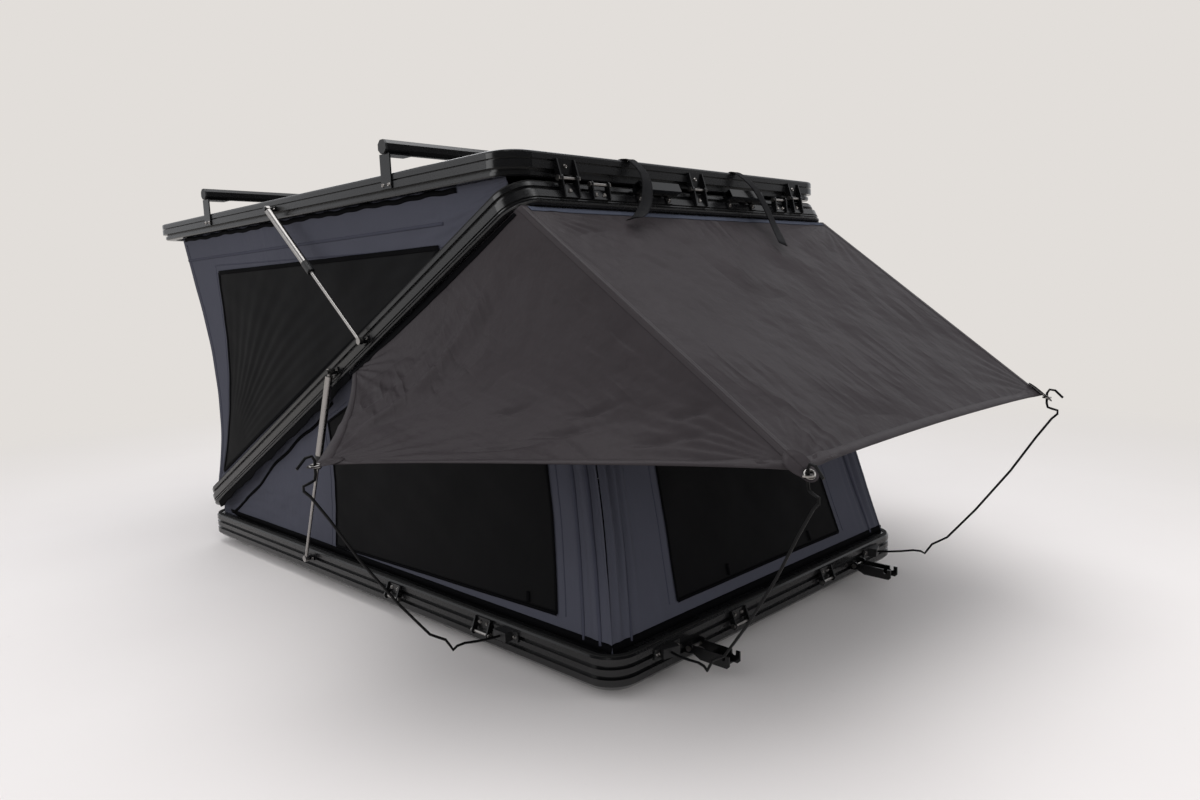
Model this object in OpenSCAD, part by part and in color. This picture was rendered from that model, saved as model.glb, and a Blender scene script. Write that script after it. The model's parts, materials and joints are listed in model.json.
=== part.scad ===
// Hard-shell roof top tent that folds in a Z: base tray, open middle frame and lid, shown open.
// X runs along the tent with the awning end at +X, Y across it, Z up from the mounting face.

/* [Shell] */
// Length of the folded shell
shell_l = 2100; // [1900:10:2300]
// Width of the folded shell
shell_w = 1350; // [1200:10:1500]
// Outer radius of the corner castings
corner_r = 75; // [70:1:110]
// Wall of the frame extrusions
wall_t = 3; // [2:0.5:4]
// Thickness of the floor and roof sandwich panels
panel_t = 18; // [12:1:22]

/* [Base frame] */
// Height of the base extrusion
base_h = 80; // [76:1:100]
// Depth of the base extrusion, outer face to inner face
base_depth = 42; // [36:1:50]
// Height of the foot ridge of the base extrusion
base_foot_h = 28; // [24:1:32]
// Height of the middle ridge of the base extrusion
base_ridge_h = 14; // [10:1:18]
// Height of the two bolt slots in the base extrusion
base_slot_h = 10; // [8:0.5:12]
// Depth of the bolt slots in the base extrusion
base_slot_d = 9; // [6:0.5:11]
// Width of the ledge that carries the floor panel
ledge_w = 18; // [14:1:24]
// Thickness of the panel ledges
ledge_t = 4; // [3:0.5:6]

/* [Middle frame] */
// Height of the middle extrusion
mid_h = 62; // [58:1:72]
// Depth of the middle extrusion
mid_depth = 40; // [36:1:46]
// Height of the rounded lower bead
mid_bead_h = 10; // [8:1:12]
// Height of the fine grooved band above the bead
mid_fine_h = 9; // [8:0.5:11]
// Height of the wide middle ridge
mid_ridge_h = 18; // [14:1:22]
// Height of the bolt slot
mid_slot_h = 13; // [10:0.5:15]
// Depth of the bolt slot
mid_slot_d = 10; // [6:0.5:12]

/* [Lid frame] */
// Height of the lid extrusion
lid_h = 59; // [56:1:70]
// Depth of the lid extrusion
lid_depth = 44; // [38:1:50]
// Height of the lower lip of the lid
lid_lip_h = 11; // [9:1:13]
// Height of the groove above the lip
lid_groove_h = 8; // [6:0.5:10]
// Height of the lower ridge of the lid
lid_ridge_h = 18; // [15:1:20]
// Depth of the groove above the lip
lid_groove_d = 14; // [10:0.5:16]

/* [Fold] */
// Opening angle between the base and the middle frame
mid_open = 28.5; // [26:0.5:31]
// Opening angle between the middle frame and the lid
lid_open = 27.2; // [25:0.1:29]
// Gap between base and middle frame when folded
seal_gap = 3; // [2:0.5:5]
// Gap between middle frame and lid when folded
lid_gap = 4; // [3:0.5:6]
// Distance of the hinge pins outside the end faces
hinge_out = 13; // [12:0.5:16]

/* [Brackets] */
// Plate thickness of hinges, latches and pin brackets
plate_t = 4; // [3:0.5:5]
// Radius of the stainless pins
pin_r = 4; // [3:0.5:5]
// Radius of the plate round a pin
boss_r = 9; // [8:0.5:10]
// Height of a hinge leaf from its pin
leaf_h = 46; // [40:1:52]
// Inner width of the outer hinge leaves and pin brackets
leaf_in_w = 54; // [50:1:64]
// Distance of the outer hinges from the centre line
hinge_y = 500; // [450:10:520]
// Height of a pin bracket from its pin
bracket_h = 36; // [32:1:40]
// Distance of the latches from the centre line
latch_y = 400; // [360:5:405]
// Width of a latch hook arm
hook_w = 46; // [40:1:47]
// Height of the latch pivot above the base frame's underside
latch_z = 40; // [36:1:44]
// Height of the rear latch pivot above the middle frame's underside
rear_latch_z = 26; // [22:1:30]
// Height of the front latch pin above the middle frame's underside
keeper_z = 53; // [48:1:56]
// Height of the rear latch pin above the lid frame's underside
lid_keeper_z = 26; // [20:1:30]
// Distance of the front ladder brackets from the centre line
ladder_y = 215; // [180:5:300]
// Places of the side ladder brackets along the tent
ladder_x = [205, 605]; // [-400:5:700]

/* [Awning rods] */
// Radius of the spring steel rods
rod_r = 3.2; // [2.5:0.1:4]
// Place of the side rod sockets along the tent
side_socket_x = 690; // [650:5:800]
// Distance of the front rod sockets from the centre line
front_socket_y = 495; // [470:5:560]
// Outward turn of the front rods in plan
front_rod_turn = 17; // [0:1:25]

/* [Gas struts] */
// Outer radius of the strut cylinder
strut_r = 11; // [9:0.5:12]
// Radius of the strut rod
strut_rod_r = 5; // [4:0.5:6]
// Length of the strut cylinder from its eye
strut_cyl_l = 315; // [312:1:340]
// Distance of the struts outside the shell
strut_out = 22; // [20:0.5:26]
// Places of the lower strut's base end and middle frame end along the folded tent
lower_strut_x = [-274, 109]; // [-300:1:150]
// Places of the upper strut's lid end and middle frame end along the folded tent
upper_strut_x = [-75, 309]; // [-100:1:330]

/* [Roof bars] */
// Size of the octagonal bars across the flats
bar_d = 36; // [30:1:42]
// Gap between the lid and the bars
bar_gap = 50; // [35:1:70]
// Distance of the bars from the middle of the lid
bar_x = 565; // [450:5:700]
// Width of the bar brackets
bar_bracket_w = 46; // [36:1:80]

/* [Grab tubes] */
// Size of the square tubes on the middle frame's front
tube_w = 24; // [20:1:26]
// Length of a square tube
tube_l = 160; // [120:5:180]
// Distance of the tubes' centres from the centre line
tube_y = 195; // [170:5:220]

/* [Mounting rails] */
// Height of the mounting rails under the floor
mount_h = 30; // [25:1:40]
// Width of the mounting rails
mount_w = 40; // [30:1:50]
// Distance between the two rails' centre lines
mount_spacing_y = 800; // [600:10:900]
// Distance between the bolt holes of one rail
mount_spacing_x = 1400; // [1000:10:1600]
// Radius of the mounting bolt holes
mount_hole_r = 4.5; // [3.5:0.5:5.5]

/* [Soft goods] */
// Thickness of the tent cloth solids
cloth_t = 3; // [2:0.5:4]
// Distance of the tent walls inside the shell's outer faces
wall_in = 34; // [30:0.5:35]
// Draw-in of the tent walls between their held edges
wall_bow = 30; // [10:1:50]
// Height of the mattress
mattress_h = 60; // [45:1:80]
// Depth of the mattress's sewn channels
channel_d = 9; // [4:1:14]
// Sag of the awning between its held edges
awning_sag = 22; // [5:1:50]
// Width of the pull straps
strap_w = 30; // [20:1:36]

/* [Hidden] */
$fn = 48;

// Clearances: sliding fits, faces that stay apart, and cloth against what holds it
fit_gap = 0.05;
side_gap = 0.4;
cloth_gap = 0.3;

// Heights of the three frames in the folded stack, and the two fold axes
base_z = mount_h;
mid_z = base_z + base_h + seal_gap;
lid_z = mid_z + mid_h + lid_gap;
rear_axis = [-shell_l / 2 - hinge_out, mid_z - seal_gap / 2];
front_axis = [shell_l / 2 + hinge_out, lid_z - lid_gap / 2];

// Fastening heights on the extrusions, measured from each frame's underside
base_slot_z = base_foot_h + base_slot_h + base_ridge_h + base_slot_h / 2;
mid_ridge_z = mid_bead_h + mid_fine_h + mid_ridge_h / 2;
lid_ridge_z = lid_lip_h + lid_groove_h + lid_ridge_h / 2;

frame_black = [0.13, 0.13, 0.135];
bracket_black = [0.06, 0.06, 0.065];
steel = [0.75, 0.75, 0.76];
canvas_grey = [0.28, 0.28, 0.33];
awning_grey = [0.24, 0.23, 0.235];
mesh_black = [0.05, 0.05, 0.055];

function lerp(a, b, t) = a + (b - a) * t;
function unit(v) = v / norm(v);

// Where a point of the folded middle frame or lid lies once the tent is open
function mid_pt(p) =
    let (x = p[0] - rear_axis[0], z = p[2] - rear_axis[1], c = cos(mid_open), s = sin(mid_open))
    [rear_axis[0] + c * x - s * z, p[1], rear_axis[1] + s * x + c * z];
function lid_to_mid(p) =
    let (x = p[0] - front_axis[0], z = p[2] - front_axis[1], c = cos(lid_open), s = sin(lid_open))
    [front_axis[0] + c * x + s * z, p[1], front_axis[1] - s * x + c * z];
function lid_pt(p) = mid_pt(lid_to_mid(p));

module on_mid() {
    translate([rear_axis[0], 0, rear_axis[1]])
        rotate([0, -mid_open, 0])
            translate([-rear_axis[0], 0, -rear_axis[1]])
                children();
}

module on_lid() {
    on_mid()
        translate([front_axis[0], 0, front_axis[1]])
            rotate([0, lid_open, 0])
                translate([-front_axis[0], 0, -front_axis[1]])
                    children();
}

// Places on the shell's faces: local X points out of the face
module at_front(y, z) {
    translate([shell_l / 2, y, z]) children();
}

module at_rear(y, z) {
    mirror([1, 0, 0]) at_front(y, z) children();
}

module at_left(x, z) {
    translate([x, -shell_w / 2, z]) rotate([0, 0, -90]) children();
}

module both_sides() {
    children();
    mirror([0, 1, 0]) children();
}

module both_ends() {
    children();
    mirror([1, 0, 0]) children();
}

// Extrusion sections: X is outward from the inside, 0 at the outer face; Y is up
edge_chamfer = 4;
foot_chamfer = 12;

module base_section() {
    slot1 = base_foot_h + base_slot_h;
    ridge = slot1 + base_ridge_h;
    slot2 = ridge + base_slot_h;
    difference() {
        polygon([
            [-base_depth - ledge_w, 0], [-foot_chamfer, 0], [0, foot_chamfer],
            [0, base_foot_h], [-base_slot_d, base_foot_h], [-base_slot_d, slot1], [0, slot1],
            [0, ridge], [-base_slot_d, ridge], [-base_slot_d, slot2], [0, slot2],
            [0, base_h - edge_chamfer], [-edge_chamfer, base_h], [-base_depth, base_h],
            [-base_depth, ledge_t], [-base_depth - ledge_w, ledge_t]]);
        translate([-base_depth + wall_t, ledge_t])
            square([base_depth - base_slot_d - 2 * wall_t, base_h - ledge_t - wall_t]);
    }
}

module mid_section() {
    fine_d = 5;
    rib_d = 2;
    step_d = 4;
    rib_low = mid_bead_h + mid_fine_h / 3;
    rib_high = mid_bead_h + 2 * mid_fine_h / 3;
    ridge_low = mid_bead_h + mid_fine_h;
    ridge_high = ridge_low + mid_ridge_h;
    slot_high = ridge_high + mid_slot_h;
    difference() {
        polygon([
            [-mid_depth, 0], [-2 * edge_chamfer, 0], [-rib_d, mid_bead_h / 3], [0, 2 * mid_bead_h / 3],
            [-rib_d, mid_bead_h], [-fine_d, mid_bead_h], [-fine_d, rib_low], [-rib_d, rib_low],
            [-rib_d, rib_high], [-fine_d, rib_high], [-fine_d, ridge_low], [0, ridge_low],
            [0, ridge_high], [-mid_slot_d, ridge_high], [-mid_slot_d, slot_high], [-step_d, slot_high],
            [-step_d, mid_h - rib_d], [-step_d - rib_d, mid_h], [-mid_depth, mid_h]]);
        translate([-mid_depth + wall_t, wall_t])
            square([mid_depth - mid_slot_d - 2 * wall_t, mid_h - 2 * wall_t]);
    }
}

module lid_section() {
    lip_in = 9;
    vee_h = 4;
    vee_d = 7;
    ridge_low = lid_lip_h + lid_groove_h;
    ridge_high = ridge_low + lid_ridge_h;
    vee_high = ridge_high + vee_h;
    shelf = lid_h - 2 - panel_t;
    difference() {
        polygon([
            [-lid_depth, 0], [-lip_in - 3, 0], [-lip_in, 3], [-lip_in, lid_lip_h],
            [-lid_groove_d, lid_lip_h], [-lid_groove_d, ridge_low], [0, ridge_low], [0, ridge_high],
            [-vee_d, ridge_high], [-vee_d, vee_high], [0, vee_high], [0, lid_h - 6],
            [-1.5, lid_h - 2], [-edge_chamfer - 2, lid_h], [-lid_depth, lid_h],
            [-lid_depth, shelf], [-lid_depth - ledge_w, shelf], [-lid_depth - ledge_w, shelf - ledge_t],
            [-lid_depth, shelf - ledge_t]]);
        translate([-lid_depth + wall_t, wall_t])
            square([lid_depth - lid_groove_d - 2 * wall_t, lid_h - 2 * wall_t]);
    }
}

// A pair of rails along each pair of sides, and the four cast corners, of the section given
module side_rail_pair() {
    both_sides()
        translate([0, shell_w / 2, 0])
            rotate([90, 0, 90])
                linear_extrude(shell_l - 2 * corner_r, center = true)
                    children();
}

module end_rail_pair() {
    both_ends()
        translate([shell_l / 2, 0, 0])
            rotate([90, 0, 0])
                linear_extrude(shell_w - 2 * corner_r, center = true)
                    children();
}

module corner_set() {
    both_sides()
        both_ends()
            translate([shell_l / 2 - corner_r, shell_w / 2 - corner_r, 0])
                rotate_extrude(angle = 90)
                    translate([corner_r, 0])
                        children();
}

// Rectangle with round corners, standing the given distance inside the shell's outline
module shell_outline(inset) {
    r = corner_r - inset;
    square([shell_l - 2 * inset, shell_w - 2 * corner_r], center = true);
    square([shell_l - 2 * corner_r, shell_w - 2 * inset], center = true);
    for (sx = [-1, 1], sy = [-1, 1])
        translate([sx * (shell_l / 2 - corner_r), sy * (shell_w / 2 - corner_r)])
            circle(r);
}

module seal_ring(outer, inner, h) {
    linear_extrude(h)
        difference() {
            shell_outline(outer);
            shell_outline(inner);
        }
}

// Base tray
module mount_rails() {
    rail_l = shell_l - 2 * (base_depth + ledge_w) - 40;
    floor_under = base_z + ledge_t;
    color(frame_black)
        both_sides()
            difference() {
                translate([0, mount_spacing_y / 2, floor_under / 2])
                    cube([rail_l, mount_w, floor_under], center = true);
                translate([0, mount_spacing_y / 2, floor_under / 2])
                    cube([rail_l + 2, mount_w - 2 * plate_t, floor_under - 2 * plate_t], center = true);
                for (sx = [-1, 1])
                    translate([sx * mount_spacing_x / 2, mount_spacing_y / 2, -1])
                        cylinder(r = mount_hole_r, h = plate_t + 2);
            }
}

module floor_panel() {
    color([0.5, 0.5, 0.51])
        translate([0, 0, base_z + ledge_t])
            linear_extrude(panel_t)
                shell_outline(base_depth + cloth_gap);
}

module base_side_rails() {
    color(frame_black) translate([0, 0, base_z]) side_rail_pair() base_section();
}

module base_end_rails() {
    color(frame_black) translate([0, 0, base_z]) end_rail_pair() base_section();
}

module base_corners() {
    color(frame_black) translate([0, 0, base_z]) corner_set() base_section();
}

module base_seal() {
    color(bracket_black)
        translate([0, 0, base_z + base_h])
            seal_ring(5, 16, seal_gap - cloth_gap);
}

// A bracket of one folded plate: back plate on the face, two ears that flare out to a pin.
// Local X is out of the face, Y along the pin, Z from the pin towards the far end of the plate.
module ear_bracket(h, half_in, pin_o, foot) {
    toe = 2 * plate_t;
    translate([0, -half_in - plate_t / 2, foot])
        cube([plate_t, 2 * half_in + plate_t, h - foot]);
    for (s = [-1, 1])
        translate([0, s * (half_in + plate_t / 2), 0])
            rotate([90, 0, 0])
                linear_extrude(plate_t, center = true)
                    difference() {
                        union() {
                            polygon([
                                [0, foot], [0, h], [toe, h], [pin_o + boss_r, 0],
                                [pin_o - boss_r + 1, 0]]);
                            translate([pin_o, 0]) circle(boss_r);
                        }
                        translate([pin_o, 0]) circle(pin_r + fit_gap);
                    }
}

// Pin through two ears, with a round head outside each
module ear_pin(half_in, pin_o) {
    head_h = 4;
    half = half_in + plate_t;
    translate([pin_o, 0, 0])
        rotate([90, 0, 0]) {
            cylinder(r = pin_r, h = 2 * half + head_h, center = true);
            for (s = [-1, 1])
                translate([0, 0, s * (half + head_h / 2)])
                    cylinder(r = 1.7 * pin_r, h = head_h, center = true);
        }
}

leaf_foot = boss_r + 1;
outer_half = leaf_in_w / 2;
inner_half = outer_half - plate_t - side_gap;
hinge_places = [-hinge_y, 0, hinge_y];

module rear_hinge_base_leaves() {
    color(bracket_black)
        for (y = hinge_places)
            at_rear(y, rear_axis[1])
                mirror([0, 0, 1])
                    ear_bracket(leaf_h, outer_half, hinge_out, leaf_foot);
}

module rear_hinge_pins() {
    color(steel)
        for (y = hinge_places)
            at_rear(y, rear_axis[1]) ear_pin(outer_half, hinge_out);
}

// Ladder hooks hang on these pins: two at the front and two on each side
module ladder_places() {
    pin_z = base_z + base_foot_h + base_slot_h + 1;
    for (y = [-ladder_y, ladder_y])
        at_front(y, pin_z) children();
    both_sides()
        for (x = ladder_x)
            at_left(x, pin_z) children();
}

module ladder_brackets() {
    color(bracket_black)
        ladder_places() ear_bracket(bracket_h, outer_half, hinge_out, boss_r);
}

module ladder_pins() {
    color(steel) ladder_places() ear_pin(outer_half, hinge_out);
}

// Latch hooks swing up on these pivots; local X is out of the face, Z up
module front_latch(y) {
    at_front(y, base_z + latch_z) children();
}

module rear_latch(y) {
    on_mid() at_rear(y, mid_z + rear_latch_z) children();
}

module front_latches() {
    for (y = [-latch_y, latch_y])
        front_latch(y) children();
}

module rear_latches() {
    for (y = [-latch_y, latch_y])
        rear_latch(y) children();
}

hook_half = hook_w / 2;
latch_half = hook_half + side_gap;

module latch_bracket() {
    ear_h = boss_r + 3;
    translate([0, -latch_half - plate_t / 2, -ear_h])
        cube([plate_t, 2 * latch_half + plate_t, 2 * ear_h]);
    for (s = [-1, 1])
        translate([0, s * (latch_half + plate_t / 2), 0])
            rotate([90, 0, 0])
                linear_extrude(plate_t, center = true)
                    difference() {
                        union() {
                            translate([0, -ear_h]) square([hinge_out, 2 * ear_h]);
                            translate([hinge_out, 0]) circle(ear_h);
                        }
                        translate([hinge_out, 0]) circle(pin_r + fit_gap);
                    }
}

module latch_brackets() {
    color(bracket_black) front_latches() latch_bracket();
}

module latch_pivots() {
    color(steel) front_latches() ear_pin(latch_half, hinge_out);
}

module rear_latch_brackets() {
    color(bracket_black) rear_latches() latch_bracket();
}

module rear_latch_pivots() {
    color(steel) rear_latches() ear_pin(latch_half, hinge_out);
}

// Hook arm from its pivot: two hooked cheeks, a web under them and a cross bar
front_reach = mid_z + keeper_z - base_z - latch_z;
rear_reach = lid_z + lid_keeper_z - mid_z - rear_latch_z;

module hook_arm(reach) {
    notch_r = pin_r + 2;
    crest = hinge_out - plate_t - 1.5;
    belly = -22;
    tip = 11;
    web_x = 30;
    nose = reach + notch_r + tip;
    translate([hinge_out, 0, 0]) {
        for (s = [-1, 1])
            translate([0, s * (hook_half - plate_t / 2), 0])
                rotate([90, 0, 0])
                    linear_extrude(plate_t, center = true)
                        difference() {
                            union() {
                                polygon([
                                    [0, -boss_r + 1], [web_x, belly], [nose - 6, belly], [nose, belly + 6],
                                    [nose, crest], [web_x, crest], [0, crest]]);
                                circle(boss_r - 1);
                            }
                            circle(pin_r + fit_gap);
                            translate([reach, 0]) circle(notch_r);
                            translate([reach - notch_r, 0]) square([2 * notch_r, crest + 1]);
                        }
        translate([web_x, -hook_half + plate_t / 2, belly])
            cube([reach - web_x, hook_w - plate_t, plate_t]);
        translate([reach / 2, 0, belly / 3])
            rotate([90, 0, 0])
                cylinder(r = pin_r, h = hook_w - plate_t, center = true);
    }
}

module front_hook_left() {
    color(bracket_black) front_latch(-latch_y) hook_arm(front_reach);
}

module front_hook_right() {
    color(bracket_black) front_latch(latch_y) hook_arm(front_reach);
}

module rear_hook_left() {
    color(bracket_black) rear_latch(-latch_y) hook_arm(rear_reach);
}

module rear_hook_right() {
    color(bracket_black) rear_latch(latch_y) hook_arm(rear_reach);
}

// Awning rods: one bent route, out and up from the socket mouth, in millimetres
rod_route = [
    [-14, 0], [4, 0], [30, 2], [70, 8], [104, 15], [126, 15], [138, 9], [146, 22], [158, 40], [200, 66],
    [276, 158], [366, 282], [428, 382], [466, 438], [480, 452], [480, 462], [466, 466], [455, 470],
    [452, 482], [452, 510], [458, 520], [472, 518], [492, 498]];
grommet_reach = 452;
grommet_rise = 496;
grommet_r = 12;
socket_z = base_z + base_slot_z;
socket_h = 24;
socket_bore = 18;

// Local X is out along the rod's plane
module rod_places() {
    both_sides() {
        at_left(side_socket_x, socket_z) children();
        at_front(-front_socket_y, socket_z) rotate([0, 0, -front_rod_turn]) children();
    }
}

module rod_sockets() {
    block_l = 46;
    flange_l = 90;
    behind = 4 * socket_h;
    module socket(turn) {
        difference() {
            union() {
                translate([0, -flange_l / 2, -socket_h / 2]) cube([plate_t, flange_l, socket_h]);
                rotate([0, 0, -turn])
                    translate([-socket_h / 2, -block_l / 2, -socket_h / 2])
                        cube([1.5 * socket_h, block_l, socket_h]);
            }
            translate([-behind, -behind / 2, -behind / 2]) cube(behind);
            rotate([0, 0, -turn])
                translate([socket_h - socket_bore, 0, 0])
                    rotate([0, 90, 0])
                        cylinder(r = rod_r + fit_gap, h = 2 * socket_h);
        }
    }
    color(bracket_black)
        both_sides() {
            at_left(side_socket_x, socket_z) socket(0);
            at_front(-front_socket_y, socket_z) socket(front_rod_turn);
        }
}

// Solid skin through a list of rings, each ring turning right-handed about the path
module ring_skin(rings) {
    n = len(rings[0]);
    last = len(rings) - 1;
    points = [for (ring = rings) for (p = ring) p];
    sides = [for (i = [0:last - 1]) for (k = [0:n - 1]) let (m = (k + 1) % n)
        each [[i * n + k, (i + 1) * n + k, (i + 1) * n + m], [i * n + k, (i + 1) * n + m, i * n + m]]];
    caps = [for (k = [1:n - 2]) each [[0, k, k + 1], [last * n, last * n + k + 1, last * n + k]]];
    polyhedron(points, concat(sides, caps), convexity = 6);
}

function tangent(path, i) = unit(path[min(i + 1, len(path) - 1)] - path[max(i - 1, 0)]);

module rod_sweep(route, r, n) {
    rings = [for (i = [0:len(route) - 1]) let (t = tangent(route, i)) [for (k = [0:n - 1])
        let (a = 360 * k / n)
        [route[i][0] - r * cos(a) * t[1], -r * sin(a), route[i][1] + r * cos(a) * t[0]]]];
    ring_skin(rings);
}

// The rod starts inside the socket's bore and leaves it square to its mouth
module awning_rods() {
    color(bracket_black) rod_places() translate([socket_h, 0, 0]) rod_sweep(rod_route, rod_r, 8);
}

module awning_grommets() {
    hole_r = rod_r + 2 * side_gap;
    color(steel)
        rod_places()
            translate([socket_h + grommet_reach, 0, grommet_rise])
                rotate_extrude()
                    translate([hole_r, 0])
                        square([grommet_r - hole_r, cloth_t]);
}

// Middle frame
module mid_side_rails() {
    color(frame_black) on_mid() translate([0, 0, mid_z]) side_rail_pair() mid_section();
}

module mid_end_rails() {
    color(frame_black) on_mid() translate([0, 0, mid_z]) end_rail_pair() mid_section();
}

module mid_corners() {
    color(frame_black) on_mid() translate([0, 0, mid_z]) corner_set() mid_section();
}

module mid_seal() {
    color(bracket_black)
        on_mid()
            translate([0, 0, mid_z + mid_h])
                seal_ring(7, 16, lid_gap - cloth_gap);
}

module rear_hinge_mid_leaves() {
    color(bracket_black)
        on_mid()
            for (y = hinge_places)
                at_rear(y, rear_axis[1])
                    ear_bracket(leaf_h, inner_half, hinge_out, leaf_foot);
}

module front_hinge_mid_leaves() {
    color(bracket_black)
        on_mid()
            for (y = hinge_places)
                at_front(y, front_axis[1])
                    mirror([0, 0, 1])
                        ear_bracket(leaf_h, inner_half, hinge_out, leaf_foot);
}

module front_hinge_pins() {
    color(steel)
        on_mid()
            for (y = hinge_places)
                at_front(y, front_axis[1]) ear_pin(outer_half, hinge_out);
}

module keeper_places() {
    on_mid()
        for (y = [-latch_y, latch_y])
            at_front(y, mid_z + keeper_z) children();
}

module latch_keepers() {
    color(bracket_black)
        keeper_places() mirror([0, 0, 1]) ear_bracket(bracket_h, outer_half, hinge_out, boss_r);
}

module keeper_pins() {
    color(steel) keeper_places() ear_pin(outer_half, hinge_out);
}

// Square tubes across the front of the middle frame, each on two short brackets
tube_z = mid_z + mid_h - tube_w / 2 - 4;
tube_stand = 14;

module grab_tubes() {
    tube_wall = 2.5;
    bore_w = tube_w - 2 * tube_wall;
    color(bracket_black)
        on_mid()
            for (s = [-1, 1])
                at_front(s * tube_y, tube_z)
                    translate([tube_stand + tube_w / 2, 0, 0])
                        difference() {
                            cube([tube_w, tube_l, tube_w], center = true);
                            cube([bore_w, tube_l + 2, bore_w], center = true);
                        }
}

module grab_tube_brackets() {
    foot_w = 22;
    foot_h = 40;
    color(bracket_black)
        on_mid()
            for (s = [-1, 1], e = [-1, 1])
                at_front(s * tube_y + e * (tube_l / 2 - foot_w), tube_z) {
                    translate([0, -foot_w / 2, -foot_h + tube_w / 2]) cube([plate_t, foot_w, foot_h]);
                    translate([0, -foot_w / 2, -tube_w / 2]) cube([tube_stand, foot_w, tube_w]);
                }
}

// Gas struts: eye on the folding frame, rod end on the frame it pushes from
eye_r = 10;
eye_w = 12;
stud_r = 4;
stud_collar_r = 8;

// Ends of the struts in the folded tent, as X and Z
lower_base_end = [lower_strut_x[0], base_z + base_slot_z];
lower_mid_end = [lower_strut_x[1], mid_z + mid_ridge_z];
upper_lid_end = [upper_strut_x[0], lid_z + lid_ridge_z];
upper_mid_end = [upper_strut_x[1], mid_z + mid_ridge_z];

module stud(through) {
    collar_end = strut_out - eye_w / 2 - side_gap;
    pad = 16;
    translate([0, -pad, -pad / 2]) cube([plate_t, 2 * pad, pad]);
    rotate([0, 90, 0]) {
        cylinder(r = stud_collar_r, h = collar_end);
        if (through) {
            cylinder(r = stud_r, h = strut_out + eye_w / 2 + side_gap);
            translate([0, 0, strut_out + eye_w / 2 + side_gap])
                cylinder(r = stud_collar_r - 1, h = plate_t);
        }
    }
}

module strut_base_studs() {
    color(bracket_black) both_sides() at_left(lower_base_end[0], lower_base_end[1]) stud(false);
}

module strut_mid_studs() {
    color(bracket_black)
        both_sides()
            on_mid() {
                at_left(lower_mid_end[0], lower_mid_end[1]) stud(true);
                at_left(upper_mid_end[0], upper_mid_end[1]) stud(false);
            }
}

module strut_lid_studs() {
    color(bracket_black)
        both_sides()
            on_lid()
                at_left(upper_lid_end[0], upper_lid_end[1]) stud(true);
}

// Places a strut's own frame on the left (-1) or right (1): origin at the eye, X towards the rod end
module strut_frame(a, b, side) {
    translate([a[0], side * (shell_w / 2 + strut_out), a[2]])
        rotate([0, -atan2(b[2] - a[2], b[0] - a[0]), 0])
            children();
}

gland_l = 18;
bore_start = eye_r + 6;

module strut_cylinder() {
    difference() {
        union() {
            rotate([90, 0, 0]) cylinder(r = eye_r, h = eye_w, center = true);
            rotate([0, 90, 0]) cylinder(r = eye_w / 2, h = bore_start);
            translate([bore_start - wall_t, 0, 0])
                rotate([0, 90, 0])
                    cylinder(r = strut_r, h = strut_cyl_l - bore_start + wall_t);
        }
        rotate([90, 0, 0]) cylinder(r = stud_r + fit_gap, h = 2 * eye_w, center = true);
        translate([bore_start, 0, 0])
            rotate([0, 90, 0])
                cylinder(r = strut_r - 2, h = strut_cyl_l - bore_start - gland_l);
        translate([bore_start, 0, 0])
            rotate([0, 90, 0])
                cylinder(r = strut_rod_r + fit_gap, h = strut_cyl_l);
    }
}

module strut_rod(a, b) {
    open_l = norm([b[0] - a[0], b[2] - a[2]]);
    piston_l = 10;
    piston_x = strut_cyl_l - gland_l - piston_l - 2;
    translate([open_l, 0, 0])
        rotate([90, 0, 0])
            cylinder(r = eye_r, h = eye_w, center = true);
    translate([piston_x, 0, 0])
        rotate([0, 90, 0])
            cylinder(r = strut_rod_r, h = open_l - piston_x);
    translate([piston_x, 0, 0])
        rotate([0, 90, 0])
            cylinder(r = strut_r - 2 - fit_gap, h = piston_l);
}

function as_point(e) = [e[0], 0, e[1]];
lower_eye = mid_pt(as_point(lower_mid_end));
lower_end = as_point(lower_base_end);
upper_eye = lid_pt(as_point(upper_lid_end));
upper_end = mid_pt(as_point(upper_mid_end));

module lower_cylinder_left() {
    color(steel) strut_frame(lower_eye, lower_end, -1) strut_cylinder();
}

module lower_rod_left() {
    color(steel) strut_frame(lower_eye, lower_end, -1) strut_rod(lower_eye, lower_end);
}

module lower_cylinder_right() {
    color(steel) strut_frame(lower_eye, lower_end, 1) strut_cylinder();
}

module lower_rod_right() {
    color(steel) strut_frame(lower_eye, lower_end, 1) strut_rod(lower_eye, lower_end);
}

module upper_cylinder_left() {
    color(steel) strut_frame(upper_eye, upper_end, -1) strut_cylinder();
}

module upper_rod_left() {
    color(steel) strut_frame(upper_eye, upper_end, -1) strut_rod(upper_eye, upper_end);
}

module upper_cylinder_right() {
    color(steel) strut_frame(upper_eye, upper_end, 1) strut_cylinder();
}

module upper_rod_right() {
    color(steel) strut_frame(upper_eye, upper_end, 1) strut_rod(upper_eye, upper_end);
}

// Lid
module lid_side_rails() {
    color(frame_black) on_lid() translate([0, 0, lid_z]) side_rail_pair() lid_section();
}

module lid_end_rails() {
    color(frame_black) on_lid() translate([0, 0, lid_z]) end_rail_pair() lid_section();
}

module lid_corners() {
    color(frame_black) on_lid() translate([0, 0, lid_z]) corner_set() lid_section();
}

module roof_panel() {
    color(frame_black)
        on_lid()
            translate([0, 0, lid_z + lid_h - 2 - panel_t])
                linear_extrude(panel_t)
                    shell_outline(lid_depth + cloth_gap);
}

module front_hinge_lid_leaves() {
    color(bracket_black)
        on_lid()
            for (y = hinge_places)
                at_front(y, front_axis[1])
                    ear_bracket(leaf_h, outer_half, hinge_out, leaf_foot);
}

module lid_keeper_places() {
    on_lid()
        for (y = [-latch_y, latch_y])
            at_rear(y, lid_z + lid_keeper_z) children();
}

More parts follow.
